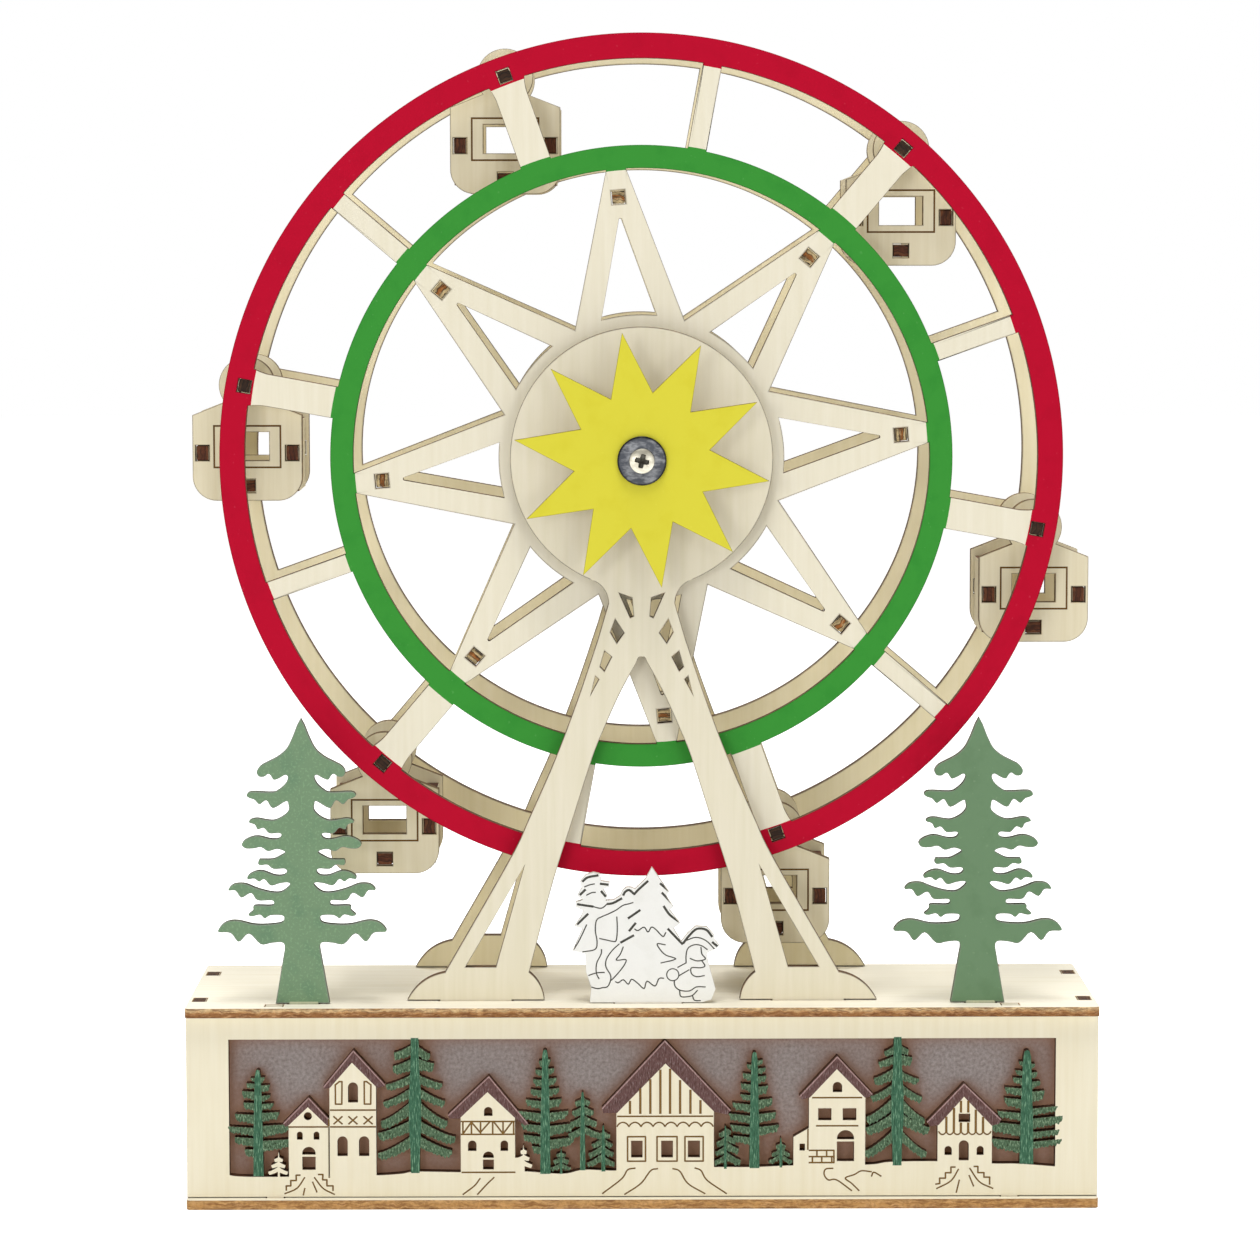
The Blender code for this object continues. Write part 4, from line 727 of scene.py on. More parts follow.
def star_point():
    """One point of the star along +X, and the slot in it, with its corners slightly rounded."""
    valley = polar(HUB + 0.3, 22.5)[0]
    point = points((0, 0), (valley[0], -valley[1]), (GREEN_IN, -3.25), (GREEN_IN + 1, -3.25), (GREEN_IN + 1, 3.25),
                   (GREEN_IN, 3.25), tuple(valley))
    foot = polar(HUB - 0.1, np.linspace(11.3, -11.3, 9))
    tip = arc(0.5, -70, 70, 7, (STAR_BAR - 7.4, 0))
    return point, np.concatenate([tip, foot])


def wheel_steps(painted):
    """Rim, spokes, green ring, star and hub. The paint's edges are circles whose radius sways by 0.16 mm in 7 waves
    and by 0.1 mm in 23."""
    steps = [(circle(RIM_OUT, 360), "wood"), (circle(RIM_IN, 360), "cut")]
    for angle in PIVOT_ANGLES:
        steps.append((turned(spoke(10.4, 1.25), angle), "wood"))
        steps.append((turned(spoke(6.2, 0), angle + 30), "wood"))
    steps += [(circle(GREEN_OUT, 300), "wood"), (circle(GREEN_IN, 300), "cut")]
    point, slot = star_point()
    steps += [(turned(point, angle), "wood") for angle in STAR_ANGLES]
    steps += [(turned(slot, angle), "cut") for angle in STAR_ANGLES]
    steps.append((circle(HUB, 180), "wood"))
    if painted:
        wobble = np.linspace(0, 360, 361)[:-1]
        edge = 0.45 + 0.16 * np.sin(np.radians(wobble * 7)) + 0.1 * np.sin(np.radians(wobble * 23 + 40))
        steps += [(circle(RIM_OUT + 1, 90), "rim_red"), (polar(RIM_IN - 0.4 - edge, wobble), "bare")]
        steps += [(polar(GREEN_OUT + 0.3 + 0.6 * edge, wobble), "ring_green")]
        steps += [(polar(GREEN_IN - 0.3 - 0.6 * edge, wobble), "bare")]
    mortise = centred(MORTISE, MORTISE)
    for radius, angle in [(STAR_BAR, a) for a in STAR_ANGLES] + [(PIVOT, a) for a in PIVOT_ANGLES]:
        steps.append((turned(mortise + [radius, 0], angle), "cut"))
    steps.append((circle(AXLE_HOLE, 60), "cut"))
    return steps


def make_wheels():
    """The two plates, and the bars between them: each bar is a strip whose face looks away from the axle."""
    for name, painted in (("front_wheel", True), ("rear_wheel", False)):
        near, far = span(name, 1)
        made = sheet(wheel_steps(painted), FRONT, (AXLE[0], near, AXLE[2]), far - near, halo=0.4, seed=3 + painted)
        built(name + "_plate", "wheel", [made], PLY if painted else BOUNCE_LIT_REAR_PLY, [name])
    for kind, finish, radius, angles in (("star_bar", BAR_PLY, STAR_BAR, STAR_ANGLES),
                                         ("pivot_bar", PIVOT_PLY, PIVOT, PIVOT_ANGLES)):
        for number, angle in enumerate(angles, 1):
            name = f"{kind}_{number}"
            near, far = span(name, 1)
            c, s = math.cos(math.radians(angle)), math.sin(math.radians(angle))
            origin = (AXLE[0] + (radius + BAR / 2) * c, 0, AXLE[2] + (radius + BAR / 2) * s)
            steps = [(rectangle(near, far, -BAR / 2, BAR / 2), "wood")]
            made = sheet(steps, ((0, 1, 0), (-s, 0, c)), origin, BAR, 0, seed=number)
            built(name + "_strip", "wheel", [made], finish, [name])


# Supports, measured from the axle: the bore, and the slots in the right leg from the top down

SUPPORT_BORE = 5.4
LEG_CUTS = [
    points((7.4, -44.1), (3.2, -45.6), (2.7, -51.7), (3.8, -52.2)),
    points((8.7, -52.7), (5.8, -57.2), (8.2, -60.6), (10.3, -57.0)),
    points((12.2, -63.2), (9.9, -65.1), (12.3, -69.8), (13.7, -68.4)),
    points((15.2, -71.5), (14.1, -72.5), (16.9, -77.9)),
    points((38.7, -134.1), (58.3, -168.0), (48.3, -168.0)),
]


def support_steps(sole):
    """Disc, legs and feet, measured from the axle; the fillet under the disc is an arc that leaves the disc along its
    edge and ends upright where the leg begins, and each leg is bowed out round its slots."""
    disc, neck, drop = 43.0, 10.9, 47.5
    radius = (neck ** 2 + drop ** 2 - disc ** 2) / (2 * (disc - neck))
    start = math.degrees(math.atan2(drop, -(neck + radius)))
    ankle = sole + 9.2
    half = np.concatenate([
        arc(radius, start, 180, 12, (neck + radius, -drop)),
        smooth([(14.5, -59.7), (21.1, -79.3), (28.5, -98.9), (37.1, -118.5), (43.45, -132.0), (65.1, ankle)])[:-1],
        bulged((65.1, ankle), (77.6, sole), 1.9), bulged((32.3, sole), (37.3, ankle), 1.1),
        smooth([(37.3, ankle), (29.1, -138.85), (22.55, -118.15), (16.3, -98.5), (12.6, -89.2), (8.0, -78.8),
                (4.85, -72.6)])[1:], arc(1.5, 0, 60, 6, (0, -66.4))])
    steps = [(circle(disc, 200), "wood"), (both_sides(half), "wood")]
    for side in (-1, 1):
        steps.append((centred(24.0, 4.2, side * FEET, sole - 1.4), "wood"))
    for cut in LEG_CUTS:
        steps += [(cut, "cut"), (mirrored(cut), "cut")]
    steps.append((circle(SUPPORT_BORE, 60), "cut"))
    return steps


def make_supports():
    """The two frames stand in the top board by their feet's tabs."""
    for number, name in enumerate(("front_support", "rear_support")):
        near, far = span(name, 1)
        sole = span("top_board", 2)[1] + 0.3 - AXLE[2]
        made = sheet(support_steps(sole), FRONT, (AXLE[0], near, AXLE[2]), far - near, halo=0.3, seed=7 + number)
        built(name + "_frame", "base", [made], BOUNCE_LIT_REAR_PLY if number else SHADED_SUPPORT_PLY, [name])


# Gondolas: how thick walls and floor are, and where their middles lie from the pivot

WALL_THICKNESS, WALL_MIDDLE, FLOOR_MIDDLE = 4.0, 14.84, -33.3


def plate_steps():
    """A gondola's end plate, measured from its pivot: an eye, sloping shoulders and round lower corners, with its
    window, the frame engraved round it, and the mortises of walls and floor."""
    roof = points((0, -2.84), (18.1, -9.9))
    corner = arc(8.0, 0, -90, 12, (10.1, -30.2))
    body = np.concatenate([both_sides(np.concatenate([roof[1:], corner])), roof[:1]])
    steps = [(body, "wood"), (circle(9.2, 90), "wood")]
    outer, inner = centred(22.5, 14.3, 0, -20.3), centred(21.3, 13.1, 0, -20.3)
    steps += [(outer, "groove"), (inner, "wood")]
    steps += [(circle(3.23, 40), "cut"), (centred(14.4, 9.4, 0, -20.2), "cut")]
    steps += [(centred(4.6, 5.2, side * WALL_MIDDLE, -22.4), "cut") for side in (-1, 1)]
    steps.append((centred(5.2, 4.6, 0, FLOOR_MIDDLE), "cut"))
    return steps


def make_gondolas():
    """Each gondola is two end plates, and a cradle of two walls and a floor whose tenons go through the plates."""
    half = WALL_THICKNESS / 2
    for number in range(1, 7):
        body = f"gondola_{number}"
        px, _, pz = PIVOTS[body]
        for end in ("front", "rear"):
            near, far = span(f"{body}_{end}", 1)
            facing, origin = (FRONT, near) if end == "front" else (REAR, far)
            made = sheet(plate_steps(), facing, (px, origin, pz), far - near, halo=0.3, seed=11 + number)
            built(f"{body}_{end}_plate", body, [made], GONDOLA_PART_SHADED_PLY, [f"{body}_{end}"])
        near, far = span(body + "_cradle", 1)
        inner, outer = near + WALL_THICKNESS, far - WALL_THICKNESS
        walls = []
        for side, facing in ((-1, LEFT), (1, RIGHT)):
            steps = [(rectangle(inner, outer, -35.3, -12.0) * [side, 1], "wood"),
                     (rectangle(near, far, -24.7, -20.1) * [side, 1], "wood")]
            origin = (px + side * (WALL_MIDDLE + half), 0, pz)
            walls.append(sheet(steps, facing, origin, WALL_THICKNESS, 90, seed=number + side))
        clear = WALL_MIDDLE - half
        steps = [(rectangle(-clear, clear, inner, outer), "wood"), (rectangle(-2.3, 2.3, near, far), "wood")]
        walls.append(sheet(steps, UP, (px, 0, pz + FLOOR_MIDDLE + half), WALL_THICKNESS, 90, seed=number))
        built(f"{body}_walls_and_floor", body, walls, CRADLE_PLY, [body + "_cradle"])


# Axle and the yellow star: the radii of its points and valleys, and the angle of its first point

STAR_TIP, STAR_VALLEY, STAR_TURN = 41.9, 22.3, 98.8
SCREW_HOLE = 2.3


def make_axle():
    """The yellow star, whose points and valleys alternate every 18 degrees, and the turned pieces on the axle."""
    near, far = span("star_knob", 1)
    turn = np.repeat(STAR_TURN + 36.0 * np.arange(10), 2) + np.tile([0, 18], 10)
    star = polar(np.tile([STAR_TIP, STAR_VALLEY], 10), turn)
    steps = [(star, "wood"), (circle(STAR_TIP + 3, 60), "star_yellow"), (circle(SCREW_HOLE, 40), "cut")]
    made = sheet(steps, FRONT, (AXLE[0], near, AXLE[2]), far - near, halo=0.25, seed=5)
    built("yellow_star", "wheel", [made], PLY, ["star_knob"])

    def round_piece(node, profile, base):
        """The turned solid in a node's place; the steel washer is painted near black over its outer rim."""
        low, high = span(node, 1)
        made = lathe(profile(high - low), (AXLE[0], low, AXLE[2]))
        if node == "star_washer":
            radius = np.hypot(made["sheet"][:, 1], made["sheet"][:, 2])
            # The washer's outer 0.4 mm is painted near black
            made["scorch_and_shade"] = np.clip((radius - 7.25) / 0.4, 0, 1)
        built(node + "_turned", "wheel", [made], base, [node], True)

    def tube(outer, inner, soft):
        """A ring whose edges are quarter circles of the radius soft, drawn with 5 points each; each flat face has one
        more circle, 0.5 mm inside its outer edge."""
        def profile(length):
            """The ring's closed section, from the front face to the rear one."""
            ends = [(outer - soft, soft, -90, 0), (outer - soft, length - soft, 0, 90),
                    (inner + soft, length - soft, 90, 180), (inner + soft, soft, 180, 270)]
            outer_low, outer_high, inner_high, inner_low = [arc(soft, a, b, 5, (x, y)) for x, y, a, b in ends]
            step = outer - soft - 0.5
            return np.concatenate([outer_low, outer_high, [(step, length)], inner_high, inner_low, [(step, 0)]])

        return profile

    round_piece("star_spacer", tube(8.0, AXLE_HOLE, 0.5), BEECH)
    round_piece("star_washer", tube(8.0, SCREW_HOLE, 0.3), BLACK_STEEL)
    round_piece("front_thrust_washer", tube(9.0, AXLE_HOLE, 0.2), NYLON)
    round_piece("rear_thrust_washer", tube(9.0, AXLE_HOLE, 0.2), NYLON)

    def dowel(length):
        """The axle, with softened ends and a pilot hole 13 mm deep in each."""
        end = points((0, 13), (SCREW_HOLE, 13), (SCREW_HOLE, 0.3), (2.6, 0), (4.5, 0), (4.85, 0.15), (5, 0.5))
        return np.concatenate([end, (end * [1, -1] + [0, length])[::-1]])

    round_piece("axle", dowel, BEECH)
    for node, direction in (("star_screw", 1.0), ("rear_flange_screw", -1.0)):
        make_screw(node, direction)


def make_screw(node, direction):
    """A cross-head screw, and on the rear one a flange. The head's face at radius r and angle a is a dome of depth
    0.75 (r / R)^2.4, lowered by 2.3 - 0.55 r in a cross whose arms reach 2.3 mm outwards and 0.9 - 0.06 r mm to each
    side; the rest is a turned profile with a thread of ten crests."""
    low, high = span(node, 1)
    flange = 1.2 if direction < 0 else 0.0
    radius = 4.0
    r, a = np.meshgrid(
        np.linspace(0, 1, 40) ** 0.8 * radius, np.radians(np.linspace(0, 360, 193)[:-1]), indexing="ij")
    x, z = r * np.cos(a), r * np.sin(a)
    arm = np.minimum(np.abs(x * 0.97 - z * 0.24), np.abs(x * 0.24 + z * 0.97))
    width = 0.9 - 0.06 * r
    cross = np.clip((width - arm) / 0.14, 0, 1) * np.clip((2.3 - r) / 0.3, 0, 1)
    depth = 0.75 * (r / radius) ** 2.4 + cross * (2.3 - 0.55 * r)
    rings = [(radius, 0.9), (radius, 1.35), (radius - 0.1, 1.5)]
    if flange:
        rings += [(5.0, 1.5), (7.7, 1.5), (8.0, 1.7), (8.0, 2.5), (7.8, 2.7)]
    reach = high - low
    crest = np.linspace(1.5 + flange + 0.5, reach - 2.2, 21)
    rings += [(2.2, 1.5 + flange)] + list(zip(np.where(np.arange(21) % 2, 1.98, 1.55), crest)) + [(1.4, reach - 1.4)]
    rings += [(0, reach)]
    body = np.array(rings)
    turn = a[0]
    shaft = np.stack([body[:, :1] * np.cos(turn), body[:, 1:] + 0 * turn, body[:, :1] * np.sin(turn)], -1)
    co = np.concatenate([np.stack([x, depth, z], -1), shaft]) * [1, direction, 1]
    rows, count = co.shape[:2]
    i, j = np.meshgrid(np.arange(rows - 1), np.arange(count), indexing="ij")
    first, second = i * count + j, i * count + (j + 1) % count
    quads = np.stack([first, second, second + count, first + count], -1).reshape(-1, 4)
    flat = co.reshape(-1, 3)
    # The cross recess is painted near black as shade
    part = {"co": np.array([AXLE[0], low if direction > 0 else high, AXLE[2]]) + flat, "tris": np.zeros((0, 3), int),
            "quads": quads, "slots": np.zeros(len(quads), int), "paints": [],
            "scorch_and_shade": np.concatenate([cross.ravel(), np.zeros(len(flat) - cross.size)]), "sheet": flat}
    built(node + "_cross_head", "wheel", [part], ZINC, [node], True)


# Box

BOX_WIDTH, BOX_DEPTH = 300, 85
# How far the front and back panels' tabs, the side panels' tabs, the supports' feet and the firs are from the middle
TABS, SIDE_TABS, FEET, FIR_PLACE = 121.0, 25.5, 54.95, 111.5
# The heights between which a panel stands, the middles of its tabs, and where the upper tabs' ends begin
PANEL_HEIGHTS, TAB_HEIGHTS, TAB_END = (3.5, 63.5), (2.3, 64.7), 66.5


def deck_slots(deck):
    """The slots of a board; only the deck has those of the supports' feet, the firs and the snow scene."""
    found = []
    for side in (-1, 1):
        found += [centred(6.1, 4.6, side * TABS, -36.7), centred(6.1, 4.6, side * TABS, 39.5)]
        found += [centred(4.6, 7.6, side * 146.4, end * SIDE_TABS) for end in (-1, 1)]
        if deck:
            found.append(centred(10.6, 3.6, side * FIR_PLACE, -32.5))
            found += [centred(24.6, 4.6, side * FEET, y) for y in (-26.6, 39.0)]
    if deck:
        found.append(centred(22.6, 3.6, 2.0, -32.5))
    return found


def panel(half, tab, offset):
    """A panel with its tabs; heights are in the world."""
    found = [rectangle(-half, half, *PANEL_HEIGHTS)]
    for side in (-1, 1):
        found += [centred(tab, 4.6, side * offset, height) for height in TAB_HEIGHTS]
    return [(outline, "wood") for outline in found]


def make_box():
    """Boards, panels, the battery cover, the diffuser film, and the finishes of the CAD nodes inside."""
    for name, deck in (("bottom_board", False), ("top_board", True)):
        low, high = span(name, 2)
        steps = [(rounded(BOX_WIDTH, BOX_DEPTH, 1.5), "wood")] + [(slot, "cut") for slot in deck_slots(deck)]
        made = sheet(steps, UP, (0, 0, high), high - low, 0, halo=0.3, seed=21 + deck)
        built(name + "_sheet", "base", [made], PART_LIT_BOARD_PLY if deck else BASE_PLY, [name])
    near, far = span("front_panel", 1)
    made = sheet(village_steps(), FRONT, (0, near, 0), far - near, 90, bevel=0.1, seed=24)
    # The tabs' ends, which were sanded with the deck
    made["scorch_and_shade"][made["co"][:, 2] > TAB_END] = 0.5
    built("front_panel_village", "base", [made], PANEL_PLY, ["front_panel"])
    near, far = span("back_panel", 1)
    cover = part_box("battery_cover")
    left, low, right, high = (v / MM for v in (cover[0].x, cover[0].z, cover[1].x, cover[1].z))
    middle = (low + high) / 2
    steps = panel(BOX_WIDTH / 2, 5.5, TABS)
    steps.append((rectangle(-right - 0.3, -left + 0.3, low - 0.3, high + 0.3), "cut"))
    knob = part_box("switch_knob")
    knob_middle = (knob[0].x + knob[1].x) / 2 / MM + 2.0
    steps.append((centred(9.8, 4.8, -knob_middle, middle), "cut"))
    built("back_panel_sheet", "base", [sheet(steps, REAR, (0, far, 0), far - near, 0, halo=0.3, seed=25)], PANEL_PLY,
          ["back_panel"])
    thumb = arc(6.0, 0, 180, 20, (0, high - 6.5))
    steps = [(rounded(right - left, high - low, 0.6, 0, middle), "wood"), (thumb, "groove")]
    near, far = span("battery_cover", 1)
    built("battery_cover_sheet", "battery_cover",
          [sheet(steps, REAR, (0, far, 0), far - near, 0, halo=0.3, groove=0.8, seed=26)], PLY, ["battery_cover"])
    for name, facing, side in (("left_side_panel", LEFT, -1), ("right_side_panel", RIGHT, 1)):
        low, high = span(name, 0)
        near, far = span(name, 1)
        middle, half = (near + far) / 2, (far - near) / 2
        steps = [(outline + [side * middle if i == 0 else 0, 0], mark)
                 for i, (outline, mark) in enumerate(panel(half, 7.0, SIDE_TABS))]
        made = sheet(steps, facing, (high if side > 0 else low, 0, 0), high - low, 0, halo=0.3, seed=27 + side)
        built(name + "_sheet", "base", [made], PANEL_PLY, [name])
    near, far = span("diffuser_sheet", 1)
    low, high = span("diffuser_sheet", 2)
    left, right = span("diffuser_sheet", 0)
    made = sheet([(rounded(right - left, high - low, 2.0, 0, (low + high) / 2), "wood")], FRONT, (0, near, 0),
                 far - near, 0, bevel=0.05)
    built("diffuser_film", "base", [made], FILM, ["diffuser_sheet"])
    for node, finish in (("battery_box", BLACK), ("switch_knob", BLACK), ("led_strip", BOARD), ("battery_1", WRAP),
                         ("battery_2", WRAP)):
        for place in frame["nodes"][node].material_slots:
            place.material = finish


# Village, in world millimetres on the front panel's face: the houses' walls and roofs, from left to right

HOUSES = [
    {"walls": points((-116.5, 8), (-103.2, 8), (-103.2, 27.4), (-110.1, 33.5), (-116.5, 27.4)),
     "roof": points((-118.3, 28.2), (-117.5, 26.9), (-116.5, 27.4), (-110.1, 33.5), (-103.9, 27.4), (-102.6, 26.6),
                    (-102.6, 29.0), (-109.8, 36.9))},
    {"walls": points((-103.0, 8), (-87.6, 8), (-87.6, 40.2), (-95.5, 48.3), (-103.0, 40.0)),
     "roof": points((-105, 40.4), (-104.5, 39.6), (-102.8, 39.9), (-95.5, 48.3), (-87.4, 39.9), (-84.9, 40.4),
                    (-84.6, 41.1), (-95, 52.6))},
    {"walls": points((-59.9, 8), (-41.9, 8), (-41.9, 29.6), (-51, 38.4), (-59.9, 29.8)),
     "roof": points((-64.1, 30.9), (-63.6, 29.6), (-60.1, 29.6), (-51, 38.4), (-41.9, 29.6), (-38.6, 27.1),
                    (-37.6, 28), (-50.5, 43.9))},
    {"walls": points((-8.6, 8), (23.6, 8), (23.6, 31.7), (7.6, 47.8), (-8.6, 31.3)),
     "roof": points((-13.4, 33.1), (-12.9, 31.3), (-8.4, 31.3), (7.6, 47.8), (23.6, 31.7), (27.9, 30.7), (29.2, 32.2),
                    (7.4, 55.7))},
    {"walls": points((54.8, 8), (73.4, 8), (73.4, 36.3), (64, 45.8), (54.8, 36.3)),
     "roof": points((51.6, 36.9), (52.6, 35.7), (55.1, 36.3), (64, 45.8), (73.2, 36.3), (74.5, 36.4), (75.9, 37.5),
                    (64.1, 50.3))},
    {"walls": points((97.2, 8), (115.2, 8), (115.2, 27.0), (105.9, 36.5), (97.2, 27.0)),
     "roof": points((93.6, 28.2), (94.8, 26.7), (97.5, 27.0), (105.9, 36.5), (115.1, 26.8), (117.4, 27.4),
                    (118.3, 29), (105.9, 41.1))},
]
# Windows and doors, cut through
WINDOWS = [
    circle(1.3, 24, (-110.1, 30.5)), arch(-113.7, -111.9, 22.7, 25.3), arch(-108.2, -106.4, 22.7, 25.3),
    arch(-112.0, -107.7, 17.7, 20.2), rectangle(-112.0, -107.7, 12.6, 16.9),
    arch(-96.8, -93.6, 35.1, 41.7), arch(-100.4, -97.1, 17.2, 23.7), arch(-93.3, -90.0, 17.2, 23.7),
    arch(-52.1, -49.4, 30.5, 33.4), arch(-57.4, -54.7, 18.8, 22.2), arch(-46.7, -44.3, 18.8, 22.2),
    arch(-52.5, -49.0, 16.5, 18.5), rectangle(-52.5, -49.0, 12.6, 15.8),
    rectangle(-3.7, 0.0, 16.5, 22.0), rectangle(6.2, 10.0, 16.5, 22.0), rectangle(15.0, 18.9, 16.5, 22.0),
    arch(62.7, 65.7, 38.2, 41.5), rectangle(57.9, 62.2, 28.8, 32.7), rectangle(66.0, 70.4, 28.8, 32.7),
    arch(64.1, 69.7, 22.4, 25.4), rectangle(64.1, 69.7, 15.1, 21.6), rectangle(51.8, 53.5, 18.7, 20.9),
    rectangle(104.2, 107.9, 28.1, 30.8), arch(99.6, 101.9, 17.1, 20.0), arch(110.2, 112.4, 17.1, 20.0),
    arch(104.3, 107.5, 15.3, 21.9),
]
# Engraved lines with corners
LINES = [
    [(-116.5, 26.9), (-103.6, 26.9)], [(-103.2, 10), (-103.2, 39)],
    [(-112.8, 10.8), (-114.1, 10.8), (-114.1, 9.0), (-115.9, 9.0), (-115.9, 7.2), (-117.4, 7.2), (-117.4, 5.7)],
    [(-106.8, 11), (-105.3, 11), (-105.4, 9.2), (-104, 9.2), (-104, 7.2), (-102, 7.2), (-102, 5.6)],
    [(-101, 34.5), (-101, 40.9), (-99.7, 42), (-98.8, 42), (-98.9, 34.5), (-101, 34.5)],
    [(-91.5, 34.5), (-91.5, 42), (-90.7, 42), (-89.3, 40.9), (-89.4, 34.5), (-91.5, 34.5)],
    [(-102.7, 32.5), (-87.8, 32.5)], [(-102.7, 26.9), (-87.8, 26.9)],
    [(-101.6, 27.85), (-98.8, 30.35)], [(-101.6, 30.35), (-98.8, 27.85)],
    [(-96.7, 27.85), (-93.9, 30.35)], [(-96.7, 30.35), (-93.9, 27.85)],
    [(-91.7, 27.85), (-88.9, 30.35)], [(-91.7, 30.35), (-88.9, 27.85)],
    [(-59.9, 28.6), (-41.9, 28.6)], [(-59.9, 24.3), (-41.9, 24.3)], [(-59.5, 11.6), (-42.0, 11.6)],
    [(-59.1, 24.3), (-59.1, 28.6)], [(-56.3, 24.3), (-56.3, 28.6)], [(-53.3, 24.3), (-53.3, 28.6)],
    [(-49.3, 24.3), (-49.3, 28.6)], [(-45.9, 24.3), (-45.9, 28.6)], [(-42.4, 24.3), (-42.4, 28.6)],
    [(-59.0, 24.6), (-56.4, 28.3)], [(-56.2, 28.3), (-53.4, 24.9), (-50.4, 28.3)], [(-48.8, 28.3), (-46, 24.6)],
    [(-45.8, 24.6), (-43.0, 28.3)],
    [(-8.2, 30.2), (23.2, 30.2)],
    [(-4.9, 15.2), (1.0, 15.2), (1.0, 23.4), (-4.9, 23.4), (-4.9, 15.2)],
    [(4.8, 15.2), (11.4, 15.2), (11.4, 23.4), (4.8, 23.4), (4.8, 15.2)],
    [(14.0, 15.2), (20.0, 15.2), (20.0, 23.4), (14.0, 23.4), (14.0, 15.2)],
    [(56, 36.3), (72.2, 36.3)], [(57.3, 26.9), (71, 26.9)],
    [(54.9, 18.7), (63.1, 18.7)], [(54.9, 16.6), (63.1, 16.6)], [(54.9, 14.6), (63.1, 14.6)],
    [(57.5, 16.6), (57.5, 18.7)], [(60.7, 16.6), (60.7, 18.7)], [(56, 14.6), (56, 16.6)],
    [(59.1, 14.6), (59.1, 16.6)], [(62.4, 14.6), (62.4, 16.6)], [(63.1, 14.6), (63.1, 18.7)],
    [(54.5, 19), (54.5, 25.9)],
    [(60.0, 28.8), (60.0, 32.7)], [(68.2, 28.8), (68.2, 32.7)],
    [(103.1, 13), (101.7, 13), (101.7, 11.1), (99.9, 11.1), (99.9, 9.3), (98, 9.3), (98, 7.5), (96.7, 7.3)],
    [(109.3, 13.2), (110.6, 13.2), (110.6, 11.1), (112.6, 11.1), (112.6, 9.6), (114.5, 9.6), (114.5, 7.2)],
]
# Wide engraved lines between the boards of two gables
BOARDS = [
    [(-4.1, 31.2), (-4.1, 35.2)], [(-0.7, 31.2), (-0.7, 39.3)], [(2.6, 31.2), (2.6, 42.4)],
    [(5.9, 31.2), (5.9, 45.6)], [(9.1, 31.2), (9.1, 45.9)], [(12.4, 31.2), (12.4, 42.1)],
    [(15.8, 31.2), (15.8, 38.9)], [(19.1, 31.2), (19.1, 35.4)],
    [(100.1, 24.9), (100.1, 29.7)], [(102.6, 24.9), (102.6, 32.6)], [(104.9, 31.4), (104.9, 35)],
    [(107.3, 31.4), (107.3, 35)], [(104.9, 24.7), (104.9, 27.7)], [(107.3, 24.7), (107.3, 27.7)],
    [(109.8, 24.9), (109.8, 32)], [(112.2, 24.9), (112.2, 29.6)],
]
# Engraved curves: paths in the snow
CURVES = [
    [(-111.3, 10), (-113.9, 6.4), (-117.9, 4.6)], [(-108.1, 10), (-105.3, 6.4), (-101.5, 4.3)],
    [(-111.3, 6.4), (-111.8, 4.1)], [(-108.7, 8.5), (-107.3, 5.1)],
    [(-53.5, 9.6), (-55.4, 7.1), (-59.2, 4.2)], [(-48.9, 9.9), (-51.1, 7.8), (-54.4, 4.2)],
    [(-2.4, 12.9), (-4.9, 12.3), (-6.9, 9.3), (-13.2, 4.4)], [(5, 12.7), (2.7, 12), (-0.6, 7.7), (-5.9, 4.1)],
    [(10, 12.7), (12.3, 11.8), (15, 7.7), (20.6, 4.3)], [(17.3, 12.9), (19.3, 12), (21.4, 8.7), (27.7, 4.3)],
    [(62.8, 12.7), (60.4, 12.4), (59.9, 10.6), (61.3, 8.8), (64, 8.8), (69, 5.2)],
    [(75.5, 11.5), (72.2, 11.8), (69.9, 10.6), (66.9, 9.4), (69, 7.6), (71.4, 5.2)],
    [(75.5, 10), (76.3, 11.3), (78.7, 10)],
    [(104.2, 12.3), (101.7, 8.4), (97, 5.8)], [(107.9, 12.6), (111.1, 8.1), (115.6, 5.8)],
    [(104.5, 8.7), (103.5, 4.5)], [(107.7, 10.2), (109.2, 6.6)],
]
# The edge of the snow
SNOW = points((-137, 10.9), (-128.9, 10.3), (-103, 10.4), (-87.1, 10.7), (-79.5, 11.2), (-74.5, 11.9), (-59.9, 11.7),
              (-42, 11.9), (-38.4, 11.9), (-26.3, 11.1), (-19.3, 12.4), (-8.7, 12.1), (8, 12.6), (23.6, 13.2),
              (37, 13.2), (49.7, 13.7), (74, 13.9), (81.6, 14.8), (96.9, 15.0), (115.2, 14.2), (124, 14.1),
              (137, 13.1))
